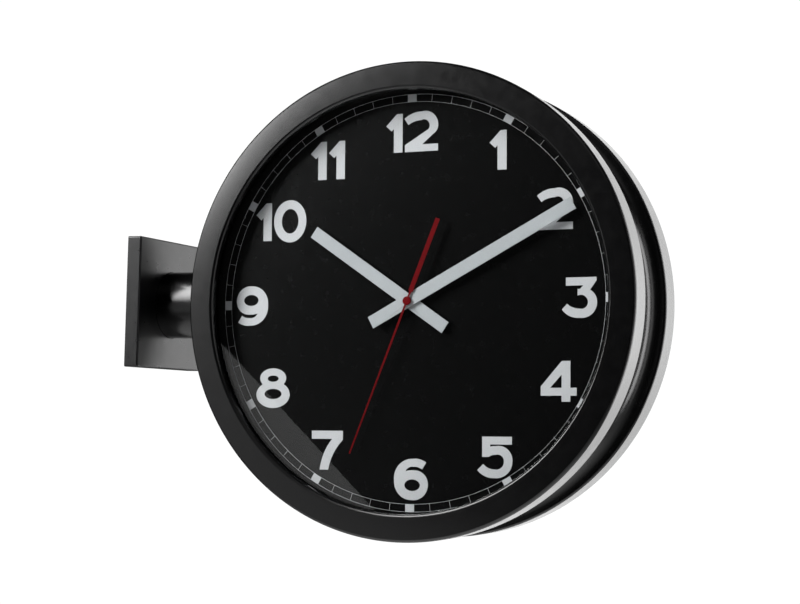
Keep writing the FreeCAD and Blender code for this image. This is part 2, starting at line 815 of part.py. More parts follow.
def second_hand(side):
    """Thin tapered pointer with a narrow neck, a broader counterweight bar and a round cap."""
    label = side + "_second_hand"
    owner = body(label + "_blade")

    def pointer(item):
        outline(item, [
            ("-second_root_width / 2", "0"),
            ("-second_tip_width / 2", "second_hand_reach"),
            ("second_tip_width / 2", "second_hand_reach"),
            ("second_root_width / 2", "0"),
            ("second_root_width / 2", "-second_neck_length"),
            ("second_tail_width / 2", "-second_neck_length"),
            ("second_tail_width / 2", "-second_hand_tail"),
            ("-second_tail_width / 2", "-second_hand_tail"),
            ("-second_tail_width / 2", "-second_neck_length"),
            ("-second_root_width / 2", "-second_neck_length"),
        ])

    pad(owner, label + "_pointer", "XZ_Plane", f"-({above('second_hand_height')}) - second_hand_thickness",
        "second_hand_thickness", pointer)
    turn_about_shaft(owner, "second_hand_angle")
    cap = rod(label + "_cap", "second_cap_radius",
              (above("second_hand_height + second_cap_height"), above("second_hand_height - 1")))
    hole = rod(label + "_hole", "second_arbor_radius",
               (above("second_hand_height"), above("second_hand_height - 3")))
    keep(cut(label + "_drilled", fused(label + "_whole", [owner, cap]), [hole]), label, side)


# ---------------------------------------------------------------- movement


def polar(spacing, bearing, origin=("0", "0")):
    """Place at a spacing and bearing from another place."""
    across, up = origin
    return (f"({across} + {spacing} * cos({bearing}))", f"({up} + {spacing} * sin({bearing}))")


SHAFT = ("0", "0")
THIRD = polar("third_spacing", "third_bearing")
MOTION = polar("motion_spacing", "motion_bearing")
INTERMEDIATE = polar("intermediate_spacing", "intermediate_bearing")
ROTOR = polar("rotor_spacing", "rotor_bearing", INTERMEDIATE)

# Meshing pairs: name -> driving wheel's teeth, its place, pinion's teeth, its place, their spacing.
MESHES = {
    "rotor": ("intermediate_teeth", INTERMEDIATE, "rotor_teeth", ROTOR, "rotor_spacing"),
    "intermediate": ("second_teeth", SHAFT, "intermediate_leaves", INTERMEDIATE, "intermediate_spacing"),
    "second": ("third_teeth", THIRD, "second_leaves", SHAFT, "third_spacing"),
    "third": ("centre_teeth", SHAFT, "third_leaves", THIRD, "third_spacing"),
    "cannon": ("motion_teeth", MOTION, "cannon_leaves", SHAFT, "motion_spacing"),
    "motion": ("hour_teeth", SHAFT, "motion_leaves", MOTION, "motion_spacing"),
}


def involute(angle):
    return math.tan(angle) - angle


def toothed_disc(name, mesh, is_wheel, level):
    """Involute wheel or pinion of a meshing pair; a tooth meets a gap on the line of centres."""
    wheel_teeth, wheel_place, leaves, leaf_place, spacing = MESHES[mesh]
    module = 2 * value(spacing) / (value(wheel_teeth) + value(leaves))
    teeth = round(value(wheel_teeth if is_wheel else leaves))
    kind = "wheel" if is_wheel else "leaf"
    here, there = (wheel_place, leaf_place) if is_wheel else (leaf_place, wheel_place)
    pressure = math.radians(value("pressure_angle"))
    pitch = module * teeth / 2
    base = pitch * math.cos(pressure)
    tip = pitch + module * value(kind + "_addendum")
    root = pitch - module * value(kind + "_dedendum")
    radii = [root] + ([base] if base > root else []) + [pitch, tip]
    at_pitch = (math.pi / 2 - value("tooth_play")) / teeth + involute(pressure)
    halves = [at_pitch - involute(math.acos(min(base / radius, 1))) for radius in radii]
    flank = list(zip(radii, halves))
    sides = [(radius, -half) for radius, half in flank] + flank[::-1]
    bearing = math.atan2(value(there[1]) - value(here[1]), value(there[0]) - value(here[0]))
    first = bearing if is_wheel else bearing + math.pi / teeth
    thickness = value("wheel_thickness" if is_wheel else "pinion_thickness")
    front = value(behind(level)) - thickness / 2
    centre = FreeCAD.Vector(value(here[0]), front, value(here[1]))
    points = []
    for tooth in range(teeth):
        middle = first + 2 * math.pi * tooth / teeth
        for radius, half in sides:
            angle = middle + half
            points.append(centre + FreeCAD.Vector(radius * math.cos(angle), 0, radius * math.sin(angle)))
    item = doc.addObject("Part::Feature", name)
    item.Shape = Part.Face(Part.makePolygon(points + points[:1])).extrude(FreeCAD.Vector(0, thickness, 0))
    return item


def wheel_piece(side, name, place, rims, rods, bore=None):
    """A wheel: its toothed discs and stepped arbor. rods: (radius, front, back) as places along Y."""
    label = f"{side}_{name}"
    parts = [toothed_disc(f"{label}_rim_{number}", *rim) for number, rim in enumerate(rims)]
    for number, (radius, front, back) in enumerate(rods):
        parts.append(rod(f"{label}_rod_{number}", radius, (front, back), *place))
    whole = fused(label + "_whole", parts) if len(parts) > 1 else parts[0]
    if bore:
        tool = rod(label + "_bore", bore, (FACE, CASE_BACK), *place)
        whole = cut(label + "_bored", whole, [tool])
    keep(whole, label, side)


def arbor(front="movement_wall", back="(movement_depth - movement_wall)"):
    """Arbor between two walls, with a pivot in each."""
    return [
        ("arbor_radius", behind(f"{front} + end_play"), behind(f"{back} - end_play")),
        ("pivot_radius", behind(f"{front} - movement_wall + end_play"),
         behind(f"{back} + movement_wall - end_play")),
    ]


def wheels(side):
    """The going train from rotor to centre wheel, and the motion work to the hands."""
    magnet = ("magnet_radius", behind("rotor_level - magnet_length / 2"),
              behind("rotor_level + magnet_length / 2"))
    wheel_piece(side, "rotor", ROTOR, [("rotor", False, "intermediate_level")],
                arbor("rotor_post_height") + [magnet])
    wheel_piece(side, "intermediate_wheel", INTERMEDIATE,
                [("rotor", True, "intermediate_level"), ("intermediate", False, "second_level")], arbor())
    wheel_piece(side, "second_wheel", SHAFT,
                [("intermediate", True, "second_level"), ("second", False, "third_level")],
                [("second_arbor_radius", above("second_hand_height - pipe_end"),
                  behind("movement_depth - movement_wall - end_play")),
                 ("pivot_radius", behind("second_level"), behind("movement_depth - end_play"))])
    wheel_piece(side, "third_wheel", THIRD,
                [("second", True, "third_level"), ("third", False, "centre_level")], arbor())
    wheel_piece(side, "centre_wheel", SHAFT, [("third", True, "centre_level")], [],
                "cannon_radius + shaft_play")
    seat_front = behind("centre_level - wheel_thickness / 2 - end_play")
    wheel_piece(side, "cannon_pinion", SHAFT, [("cannon", False, "motion_level")],
                [("cannon_radius", above("minute_hand_height + pipe_end"),
                  behind("centre_level + wheel_thickness / 2 + end_play")),
                 ("hour_pipe_radius", behind("motion_level"), seat_front)],
                "second_arbor_radius + shaft_play")
    wheel_piece(side, "motion_wheel", MOTION,
                [("cannon", True, "motion_level"), ("motion", False, "hour_level")],
                [("pivot_radius", behind("end_play"), behind("motion_level")),
                 ("motion_arbor_radius", behind("motion_level"),
                  behind("movement_depth + knob_gap + knob_height / 2"))])
    wheel_piece(side, "hour_wheel", SHAFT, [("motion", True, "hour_level")],
                [("hour_pipe_radius", above("hour_hand_height + pipe_end"), behind("hour_level"))],
                "cannon_radius + shaft_play")


def set_knob(side):
    """Knob on the motion wheel's arbor, behind the movement, for setting the hands."""
    label = side + "_set_knob"
    span = (behind("movement_depth + knob_gap"), behind("movement_depth + knob_gap + knob_height"))
    disc = rod(label + "_disc", "knob_radius", span, *MOTION)
    tools = [rod(label + "_hole", "motion_arbor_radius",
                 (behind("movement_depth"), behind("movement_depth + knob_gap + knob_height / 2")), *MOTION)]
    for number in range(round(value("knob_grips"))):
        place = polar("grip_distance", f"({number} * 360 / knob_grips)", MOTION)
        tools.append(rod(f"{label}_grip_{number}", "grip_radius", span, *place))
    keep(cut(label + "_gripped", disc, tools), label, side)


def movement_case(side):
    """Square moulded box with the threaded bush, a battery bay below, and a post for the rotor."""
    label = side + "_movement_case"
    half = "movement_width / 2"
    inner = f"({half} - movement_wall)"
    floor = behind("movement_wall")
    outer = block(label + "_block", (f"-{half}", half), (DIAL_BACK, CASE_BACK), (f"-{half}", half))
    hollow = block(label + "_hollow", (f"-{inner}", inner), (floor, f"{CASE_BACK} + 1"),
                   (f"-{inner}", inner))
    parts = [
        cut(label + "_box", outer, [hollow]),
        block(label + "_bay_wall", (f"-{inner} - 0.5", f"{inner} + 0.5"), (DIAL_BACK, CASE_BACK),
              ("bay_wall_height - bay_wall", "bay_wall_height")),
        rod(label + "_post", "rotor_post_radius", (DIAL_BACK, behind("rotor_post_height")), *ROTOR),
        rod(label + "_bush", "bush_radius", (above("bush_height"), floor)),
    ]
    tools = [rod(label + "_bush_bore", "bush_radius - bush_wall", (FACE, f"{floor} + 1"))]
    pivots = {"third": THIRD, "intermediate": INTERMEDIATE, "rotor": ROTOR, "motion": MOTION}
    for name, place in pivots.items():
        tools.append(rod(f"{label}_{name}_hole", "pivot_radius + pivot_play",
                         (behind("-1"), behind("rotor_post_height + 1")), *place))
    keep(cut(label + "_bored", fused(label + "_whole", parts), tools), label, side)


def movement_cover(side):
    """Lid over the wheels, with a bearing hole for each arbor and the setting arbor's way out."""
    label = side + "_movement_cover"
    inner = "(movement_width / 2 - movement_wall)"
    lid = block(label + "_lid", (f"-{inner}", inner), (COVER_FRONT, CASE_BACK), ("bay_wall_height", inner))
    span = (f"{COVER_FRONT} - 1", f"{CASE_BACK} + 1")
    tools = [rod(label + "_motion_hole", "motion_arbor_radius + shaft_play", span, *MOTION)]
    pivots = {"second": SHAFT, "third": THIRD, "intermediate": INTERMEDIATE, "rotor": ROTOR}
    for name, place in pivots.items():
        tools.append(rod(f"{label}_{name}_hole", "pivot_radius + pivot_play", span, *place))
    keep(cut(label + "_bored", lid, tools), label, side)


def shaft_nut(side):
    """Hexagonal nut on the bush, which clamps dial and movement together."""
    label = side + "_shaft_nut"
    prism = doc.addObject("Part::Prism", label + "_hexagon")
    prism.Polygon = 6
    prism.Placement = FreeCAD.Placement(FreeCAD.Vector(), FreeCAD.Rotation(FreeCAD.Vector(1, 0, 0), -90))
    bind(prism, Circumradius="nut_across / 2 / cos(30)", Height="nut_height",
         Placement__Base__y=above("nut_height"))
    bore = rod(label + "_bore", "bush_radius", (above("nut_height + 1"), f"{DIAL_FRONT} + 1"))
    keep(cut(label + "_bored", prism, [bore]), label, side)


CORE_LOW = "(core_height - core_width / 2)"
CORE_HIGH = "(core_height + core_width / 2)"
STATOR_SPAN = (behind("rotor_level - stator_thickness / 2"), behind("rotor_level + stator_thickness / 2"))


def stator(side):
    """Iron pole plate round the rotor, with the core that runs through the coil."""
    label = side + "_stator"
    pole = block(label + "_pole", ("pole_left", "pole_right"), STATOR_SPAN, ("pole_low", CORE_HIGH))
    core = block(label + "_core", ("-core_half_length", "pole_left + 1"), STATOR_SPAN, (CORE_LOW, CORE_HIGH))
    bore = rod(label + "_bore", "stator_bore", (behind("2"), behind("movement_depth")), *ROTOR)
    keep(cut(label + "_bored", fused(label + "_whole", [pole, core]), [bore]), label, side)


def coil(side):
    """Wound coil on the stator's core."""
    label = side + "_coil"
    winding = rod_x(label + "_winding", "coil_radius", ("coil_start", "coil_end"), behind("rotor_level"),
                    "core_height")
    slot = block(label + "_slot", ("coil_start - 1", "coil_end + 1"), STATOR_SPAN, (CORE_LOW, CORE_HIGH))
    keep(cut(label + "_wound", winding, [slot]), label, side)


def circuit_board(side):
    """Narrow board with its chip and crystal."""
    label = side + "_circuit_board"
    right = "(board_left + board_width)"
    back = "board_level + board_thickness / 2"
    board = block(label + "_board", ("board_left", right),
                  (behind("board_level - board_thickness / 2"), behind(back)), ("board_low", "board_high"))
    middle = "(board_left + board_width / 2)"
    chip = block(label + "_chip", (f"{middle} - chip_width / 2", f"{middle} + chip_width / 2"),
                 (behind(back), behind(back + " + chip_thickness")),
                 ("board_low + chip_rise", "board_low + chip_rise + chip_height"))
    crystal = doc.addObject("Part::Cylinder", label + "_crystal")
    bind(crystal, Radius="crystal_radius", Height="crystal_length", Placement__Base__x=middle,
         Placement__Base__y=behind(back + " + 0.9 * crystal_radius"), Placement__Base__z="board_high / 2")
    keep(fused(label + "_whole", [board, chip, crystal]), label, side)


def battery(side):
    """Single cell lying in the bay."""
    label = side + "_battery"
    level = behind("battery_level")
    cell = rod_x(label + "_cell", "battery_radius", ("-battery_length / 2", "battery_length / 2"), level,
                 "battery_height")
    tip_span = ("battery_length / 2 - 1", "battery_length / 2 + battery_tip_length")
    tip = rod_x(label + "_tip", "battery_tip_radius", tip_span, level, "battery_height")
    keep(fused(label + "_whole", [cell, tip]), label, side)


def battery_contacts(side):
    """Spring strips at the two ends of the bay."""
    label = side + "_battery_contacts"
    y = (behind("battery_level - contact_half_width"), behind("battery_level + contact_half_width"))
    z = ("battery_height - contact_half_width", "battery_height + contact_half_width")
    low = "(-battery_length / 2 - contact_thickness)"
    high = "(battery_length / 2 + battery_tip_length)"
    strips = [
        block(label + "_minus", (low, f"{low} + contact_thickness"), y, z),
        block(label + "_plus", (high, f"{high} + contact_thickness"), y, z),
    ]
    keep(group(label + "_pair", strips), label, side)


# ---------------------------------------------------------------- the whole clock


def head(side):
    bezel(side)
    flat_ring(side, "lens", "0", "stack_radius", LENS_FRONT, LENS_BACK)
    flat_ring(side, "spacer_ring", "stack_radius - spacer_skin", "stack_radius", LENS_BACK, DIAL_FRONT)
    flat_ring(side, "dial", "dial_hole_radius", "stack_radius", DIAL_FRONT, DIAL_BACK)
    dial_markings(side)
    back_plate(side)
    bar_hand(side, "hour_hand", "hour_hand_reach", "hour_hand_tail", "hour_hand_height", "hour_hand_angle",
             "hour_pipe_radius")
    bar_hand(side, "minute_hand", "minute_hand_reach", "minute_hand_tail", "minute_hand_height",
             "minute_hand_angle", "cannon_radius")
    second_hand(side)
    shaft_nut(side)
    movement_case(side)
    movement_cover(side)
    wheels(side)
    set_knob(side)
    stator(side)
    coil(side)
    circuit_board(side)
    battery(side)
    battery_contacts(side)


wall_plate()
plate_cover()
bracket_tube()
tube_flange()
bracket_screws()
centre_drum()
retaining_clips()
for head_side in ("front", "rear"):
    head(head_side)
doc.recompute()

for item in doc.Objects:
    if "Invalid" in item.State or "Error" in item.State:
        raise RuntimeError(f"{item.Label} failed: {item.State}")
for item in nodes:
    if item.Shape.isNull() or not item.Shape.isValid() or not item.Shape.Solids:
        raise RuntimeError(f"{item.Label} has no sound solid")

os.makedirs("parts", exist_ok=True)
for item in nodes:
    item.Shape.exportStep(f"parts/{item.Label}.step")
print(len(nodes), "pieces")
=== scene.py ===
"""Looks of the double sided station clock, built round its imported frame.

Metres, +Z up. The front dial looks along -Y and the rear dial along +Y. A head's pieces are drawn
in the head's own millimetres, with x to the viewer's right, y from the drum's middle to the back and
z up, and HEAD_PLACES puts them on the clock: the rear head is the front one turned half a turn about
the upright line through the clock's centre.
"""
import math

import bpy
import bmesh
from mathutils import Matrix, Vector


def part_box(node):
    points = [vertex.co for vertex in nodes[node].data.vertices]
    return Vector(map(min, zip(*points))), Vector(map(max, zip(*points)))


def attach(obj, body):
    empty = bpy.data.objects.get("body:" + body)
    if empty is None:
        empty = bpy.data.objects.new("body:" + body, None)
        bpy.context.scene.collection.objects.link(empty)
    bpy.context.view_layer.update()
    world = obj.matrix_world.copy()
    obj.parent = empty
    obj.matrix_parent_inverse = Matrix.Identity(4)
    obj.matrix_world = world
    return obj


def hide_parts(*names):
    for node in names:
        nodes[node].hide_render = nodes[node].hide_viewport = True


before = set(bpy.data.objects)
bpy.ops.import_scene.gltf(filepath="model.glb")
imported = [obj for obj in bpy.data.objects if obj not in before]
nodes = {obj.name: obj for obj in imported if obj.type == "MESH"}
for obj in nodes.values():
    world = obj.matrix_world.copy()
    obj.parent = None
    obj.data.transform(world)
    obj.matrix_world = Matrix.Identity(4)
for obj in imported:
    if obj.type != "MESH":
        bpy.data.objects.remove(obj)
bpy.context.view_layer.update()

MM = 0.001
SIDES = ("front", "rear")


def span(node, axis):
    """Lowest and highest place of a node along an axis, in millimetres."""
    low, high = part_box(node)
    return low["xyz".index(axis)] / MM, high["xyz".index(axis)] / MM


# ---------------------------------------------------------------- sizes, in millimetres

case_low, case_high = span("front_bezel", "x")
CLOCK_X = (case_low + case_high) / 2
CASE_RADIUS = (case_high - case_low) / 2
FACE, HEAD_BACK = span("front_bezel", "y")
LENS_FRONT, LENS_BACK = span("front_lens", "y")
DIAL_FRONT, DIAL_BACK = span("front_dial", "y")
HALF_WAIST = -HEAD_BACK
STACK_RADIUS = (span("front_lens", "x")[1] - span("front_lens", "x")[0]) / 2

SKIN = 2.5
FACE_DROP = 0.8
FRONT_ROUND = 3.2
FRONT_SLOPE = 0.8 * FRONT_ROUND
FACE_ROUND = 2 * FRONT_ROUND
BACK_ROUND = 2.4
LIP_RADIUS = 176.6
LIP_ROUND = 3.2
CROWN_RADIUS = 188.5
CROWN_DROP = 0.25
CROWN_ROUND = 450
STACK_PLAY = 0.2
RIB_SKIN = 2
SPACER_SKIN = 2.5
SMALL_ROUND = 0.3
LENS_EDGE = 0.4
DIAL_EDGE = 0.1

WAIST_RADIUS = 185
FLARE_RADIUS = 197.5
SPIGOT_OUTER = 196.9
SPIGOT_INNER = 194
SPIGOT_LENGTH = 4.6
DRUM_SKIN = 3

# Print and hands, as on the dial.
DIAL_TURN = 1.05
DIAL_HOLE_RADIUS = 4.1
PRINT_THICKNESS = 0.15
TRACK_INNER = 169.1
TRACK_OUTER = 175.5
HAIRLINE = 0.22
HOUR_MARK_WIDTH = 7.9
TICK_CLEARANCE = 0.02
MINUTE_DEGREES = 6
HAND_READINGS = {"hour_hand": 304.8, "minute_hand": 62, "second_hand": 201.9}
HAND_WIDTH = 10.8
HOUR_REACH = 107
HOUR_TAIL = 40
MINUTE_REACH = 163
MINUTE_TAIL = 38
SECOND_REACH = 137.5
SECOND_TAIL = 73.5
SECOND_NECK = 8.5
SECOND_TIP_WIDTH = 1.2
SECOND_ROOT_WIDTH = 1.8
SECOND_TAIL_WIDTH = 4
SECOND_THICKNESS = 0.4
SECOND_CAP_RADIUS = 3.6
SECOND_CAP_HEIGHT = 0.9
SECOND_HUB_LENGTH = 1
SECOND_CAP_ROUND = 0.45
SECOND_HUB_EDGE = 0.15
POINTER_EDGE = 0.08
BLADE_EDGE = 0.12
HAND_THICKNESS = 0.8
COLLET_RADIUS = 4.2
COLLET_LENGTH = 1
COLLET_EDGE = 0.2
COLLET_BORE_EDGE = 0.1
HOUR_PIPE_RADIUS = 2.62
CANNON_RADIUS = 1.72
DIGIT_HEIGHT = 33
DIGIT_GAP = 2.2
NUMERAL_PLACES = {
    1: (77, 124),
    2: (126.5, 72.5),
    3: (147, 0),
    4: (129.5, -67.5),
    5: (75, -129),
    6: (1, -148.5),
    7: (-76, -125),
    8: (-128, -72.5),
    9: (-149, -0.5),
    10: (-122, 72),
    11: (-78, 123),
    12: (0, 143),
}

# Bracket.
SEAT_X = 96
SEAT_HALF_WIDTH = 34
SEAT_HALF_HEIGHT = 56
SEAT_CORNER = 3
SEAT_EDGE = 0.3
SEAT_SINK = 1
TUBE_RADIUS = 30
TUBE_WALL = 2.5
TUBE_PLAY = 0.1
COVER_SKIN = 1.6
COVER_ROUND = 1.5
COVER_INNER_ROUND = 0.3
COVER_LEAST_ROUND = 0.05
COVER_EDGE = 0.25
TUBE_EDGE = 0.4
KEPT_EDGE = 0.15

TURN_STEPS = 288
ARC_STEPS = 8
CURVE_STEPS = 16
BORE_STEPS = 48
SIDE_STEPS = 24
SHARP_ANGLE = 32
WELD_DISTANCE = 1e-6
POINT_GAP = 1e-4
ON_AXIS = 1e-6


def head_place(side):
    turn = Matrix.Rotation(math.pi if side == "rear" else 0, 4, "Z")
    return Matrix.Translation((CLOCK_X * MM, 0, 0)) @ turn @ Matrix.Scale(MM, 4)


HEAD_PLACES = {side: head_place(side) for side in SIDES}
DRUM_PLACE = HEAD_PLACES["front"]
CLOCK_PLACE = Matrix.Scale(MM, 4)
TUBE_PLACE = CLOCK_PLACE @ Matrix.Rotation(-math.pi / 2, 4, "Z")


# ---------------------------------------------------------------- mesh tools


def finish_mesh(name, mesh):
    """Object of a mesh with smooth faces and sharp creases."""
    mesh.shade_smooth()
    mesh.set_sharp_from_angle(angle=math.radians(SHARP_ANGLE))
    item = bpy.data.objects.new(name, mesh)
    bpy.context.scene.collection.objects.link(item)
    normals = item.modifiers.new("normals", "WEIGHTED_NORMAL")
    normals.keep_sharp = True
    return item


def rounded(corners, steps=ARC_STEPS):
    """Closed outline with its corners rounded. A corner is (across, up) or (across, up, radius)."""
    outline = []
    count = len(corners)
    for index, corner in enumerate(corners):
        here = Vector(corner[:2])
        radius = corner[2] if len(corner) == 3 else 0
        if not radius:
            outline.append(here)
            continue
        before = (Vector(corners[index - 1][:2]) - here).normalized()
        after = (Vector(corners[(index + 1) % count][:2]) - here).normalized()
        half = before.angle(after) / 2
        centre = here + (before + after).normalized() * (radius / math.sin(half))
        start = here + before * (radius / math.tan(half)) - centre
        turn = start.angle_signed(here + after * (radius / math.tan(half)) - centre)
        for step in range(steps + 1):
            outline.append(centre + Matrix.Rotation(-turn * step / steps, 2) @ start)
    return [point for index, point in enumerate(outline)
            if (point - outline[index - 1]).length > POINT_GAP]


def lathe(name, corners, place):
    """Ring or disc turned about the y axis from a section of (radius, y) corners."""
    section = rounded(corners)
    made = bmesh.new()
    rings = []
    for radius, y in section:
        if radius < ON_AXIS:
            rings.append([made.verts.new((0, y, 0))])
            continue
        angles = (2 * math.pi * step / TURN_STEPS for step in range(TURN_STEPS))
        rings.append([made.verts.new((radius * math.cos(a), y, radius * math.sin(a))) for a in angles])
    for index, ring in enumerate(rings):
        other = rings[(index + 1) % len(rings)]
        if len(ring) == 1 and len(other) == 1:
            continue
        for step in range(TURN_STEPS):
            after = (step + 1) % TURN_STEPS
            if len(ring) == 1:
                made.faces.new((ring[0], other[step], other[after]))
            elif len(other) == 1:
                made.faces.new((ring[step], ring[after], other[0]))
            else:
                made.faces.new((ring[step], ring[after], other[after], other[step]))
    bmesh.ops.recalc_face_normals(made, faces=made.faces)
    made.transform(place)
    mesh = bpy.data.meshes.new(name)
    made.to_mesh(mesh)
    made.free()
    return finish_mesh(name, mesh)


def flat_plate(name, outlines, front, back, place, edge=0.0):
    """Plate between two depths, in the shape of its outlines. An outline inside another is a hole."""
    curve = bpy.data.curves.new(name + "_outline", "CURVE")
    curve.dimensions = "2D"
    curve.fill_mode = "BOTH"
    for outline in outlines:
        spline = curve.splines.new("POLY")
        spline.points.add(len(outline) - 1)
        for point, (across, up) in zip(spline.points, outline):
            point.co = (across, up, 0, 1)
        spline.use_cyclic_u = True
    curve.extrude = (back - front) / 2
    drawn = bpy.data.objects.new(name + "_drawn", curve)
    bpy.context.scene.collection.objects.link(drawn)
    bpy.context.view_layer.update()
    filled = drawn.evaluated_get(bpy.context.evaluated_depsgraph_get())
    mesh = bpy.data.meshes.new_from_object(filled)
    bpy.data.objects.remove(drawn)
    stand = Matrix(((1, 0, 0, 0), (0, 0, -1, (front + back) / 2), (0, 1, 0, 0), (0, 0, 0, 1)))
    mesh.transform(place @ stand)
    mesh.name = name
    made = bmesh.new()
    made.from_mesh(mesh)
    bmesh.ops.remove_doubles(made, verts=made.verts, dist=WELD_DISTANCE)
    bmesh.ops.recalc_face_normals(made, faces=made.faces)
    made.to_mesh(mesh)
    made.free()
    plate = finish_mesh(name, mesh)
    if edge:
        soften(plate, edge)
    return plate


def soften(item, width):
    """Round an object's sharp edges by a width in millimetres."""
    rounding = item.modifiers.new("soften", "BEVEL")
    rounding.width = width * MM
    rounding.segments = 2
    rounding.limit_method = "ANGLE"
    rounding.angle_limit = math.radians(SHARP_ANGLE)
    item.modifiers.move(len(item.modifiers) - 1, 0)


def circle(radius, steps=TURN_STEPS):
    turns = (2 * math.pi * step / steps for step in range(steps))
    return [(radius * math.cos(a), radius * math.sin(a)) for a in turns]


def direction(azimuth, elevation):
    """Unit vector at an azimuth from -Y towards +X and an elevation, in degrees."""
    a, e = math.radians(azimuth), math.radians(elevation)
    return Vector((math.sin(a) * math.cos(e), -math.cos(a) * math.cos(e), math.sin(e)))


def dress(piece, body, replaced, material):
    """Put a piece on its body in place of a CAD node, with its finish."""
    piece.data.materials.clear()
    piece.data.materials.append(material)
    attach(piece, body)
    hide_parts(*replaced)


# ---------------------------------------------------------------- materials

NOISE_LOW = 0.3
NOISE_HIGH = 0.7
BLOTCHES_TO_WEAR = 3
GLASS_TINT = (0.985, 0.992, 0.99, 1)
GLASS_MIRROR = 0.045
GLASS_SMEAR = (0.008, 0.014)
SCHLICK_POWER = 5
WIRE_SCALE = 900
WIRE_DISTORTION = 0.6
WIRE_RELIEF = 3e-5


def new_material(name, colour, roughness, **sockets):
    """Principled material; returns it with its tree and shader."""
    material = bpy.data.materials.new(name)
    material.use_nodes = True
    tree = material.node_tree
    shader = tree.nodes["Principled BSDF"]
    shader.inputs["Base Color"].default_value = (*colour, 1)
    shader.inputs["Roughness"].default_value = roughness
    for socket, number in sockets.items():
        shader.inputs[socket.replace("_", " ")].default_value = number
    return material, tree, shader


def noise(tree, scale, detail=3.0):
    """Noise over the piece's own coordinates, in features per metre."""
    place = tree.nodes.new("ShaderNodeTexCoord")
    texture = tree.nodes.new("ShaderNodeTexNoise")
    texture.inputs["Scale"].default_value = scale
    texture.inputs["Detail"].default_value = detail
    tree.links.new(place.outputs["Object"], texture.inputs["Vector"])
    return texture.outputs["Fac"]


def spread(tree, source, low, high):
    """The middle range of a noise stretched between two values."""
    ranged = tree.nodes.new("ShaderNodeMapRange")
    ranged.inputs["From Min"].default_value = NOISE_LOW
    ranged.inputs["From Max"].default_value = NOISE_HIGH
    ranged.inputs["To Min"].default_value = low
    ranged.inputs["To Max"].default_value = high
    tree.links.new(source, ranged.inputs["Value"])
    return ranged.outputs["Result"]


def mottle(tree, shader, source, dark, light):
    """Base colour between two colours."""
    ramp = tree.nodes.new("ShaderNodeValToRGB")
    ramp.color_ramp.elements[0].position = NOISE_LOW
    ramp.color_ramp.elements[0].color = (*dark, 1)
    ramp.color_ramp.elements[1].position = NOISE_HIGH
    ramp.color_ramp.elements[1].color = (*light, 1)
    tree.links.new(source, ramp.inputs["Fac"])
    tree.links.new(ramp.outputs["Color"], shader.inputs["Base Color"])


def bump(tree, shader, source, height):
    """Surface relief of that height in metres."""
    relief = tree.nodes.new("ShaderNodeBump")
    relief.inputs["Distance"].default_value = height
    tree.links.new(source, relief.inputs["Height"])
    tree.links.new(relief.outputs["Normal"], shader.inputs["Normal"])


def scaled(colour, factor):
    return tuple(channel * factor for channel in colour)


def surface(name, colour, rough, vary=0.15, blotch=40, grain=900, height=4e-6, **sockets):
    """Plain finish with blotches in its colour and roughness, and a fine grain."""
    material, tree, shader = new_material(name, colour, sum(rough) / 2, **sockets)
    broad = noise(tree, blotch)
    mottle(tree, shader, broad, scaled(colour, 1 - vary), scaled(colour, 1 + vary))
    wear = noise(tree, blotch * BLOTCHES_TO_WEAR)
    tree.links.new(spread(tree, wear, *rough), shader.inputs["Roughness"])
    bump(tree, shader, noise(tree, grain, 2.0), height)
    return material


def pane(name):
    """Clear glass that passes light straight and mirrors more at a flat angle, alike from both sides."""
    material = bpy.data.materials.new(name)
    material.use_nodes = True
    tree = material.node_tree
    tree.nodes.clear()
    output = tree.nodes.new("ShaderNodeOutputMaterial")
    mix = tree.nodes.new("ShaderNodeMixShader")
    clear = tree.nodes.new("ShaderNodeBsdfTransparent")
    mirror = tree.nodes.new("ShaderNodeBsdfGlossy")
    edge = tree.nodes.new("ShaderNodeLayerWeight")
    steep = tree.nodes.new("ShaderNodeMath")
    share = tree.nodes.new("ShaderNodeMapRange")
    clear.inputs["Color"].default_value = GLASS_TINT
    mirror.inputs["Roughness"].default_value = 0.0
    edge.inputs["Blend"].default_value = 0.5
    steep.operation = "POWER"
    steep.inputs[1].default_value = SCHLICK_POWER
    share.inputs["To Min"].default_value = GLASS_MIRROR
    smear = spread(tree, noise(tree, 9, 4.0), *GLASS_SMEAR)
    tree.links.new(smear, mirror.inputs["Roughness"])
    tree.links.new(edge.outputs["Facing"], steep.inputs[0])
    tree.links.new(steep.outputs["Value"], share.inputs["Value"])
    tree.links.new(share.outputs["Result"], mix.inputs["Fac"])
    tree.links.new(clear.outputs["BSDF"], mix.inputs[1])
    tree.links.new(mirror.outputs["BSDF"], mix.inputs[2])
    tree.links.new(mix.outputs["Shader"], output.inputs["Surface"])
    return material


SATIN_CASE = surface("satin_case", (0.0012, 0.0012, 0.0014), (0.22, 0.26), grain=1500, height=2e-6)
GLOSS_DRUM = surface("gloss_drum", (0.0015, 0.0015, 0.0017), (0.24, 0.28), grain=900, height=1e-6)
GLOSS_TUBE = surface("gloss_tube", (0.0012, 0.0012, 0.0013), (0.19, 0.23), grain=200, height=5e-7)
SATIN_COVER = surface("satin_cover", (0.003, 0.003, 0.0035), (0.27, 0.34), grain=900, height=6e-7)
CLEAR_PANE = pane("clear_pane")
DIAL_BLACK = surface("dial_black", (0.0012, 0.0012, 0.0013), (0.24, 0.28), grain=1400, height=1e-7,
                     Specular_IOR_Level=0.15)
SPACER_BLACK = surface("spacer_black", (0.0012, 0.0012, 0.0013), (0.25, 0.3), Specular_IOR_Level=0.15)
INK_WHITE = surface("ink_white", (0.73, 0.735, 0.76), (0.5, 0.6), vary=0.02, grain=2500, height=3e-6)
HAND_WHITE = surface("hand_white", (0.56, 0.585, 0.61), (0.35, 0.45), vary=0.02, grain=1600, height=2e-6)
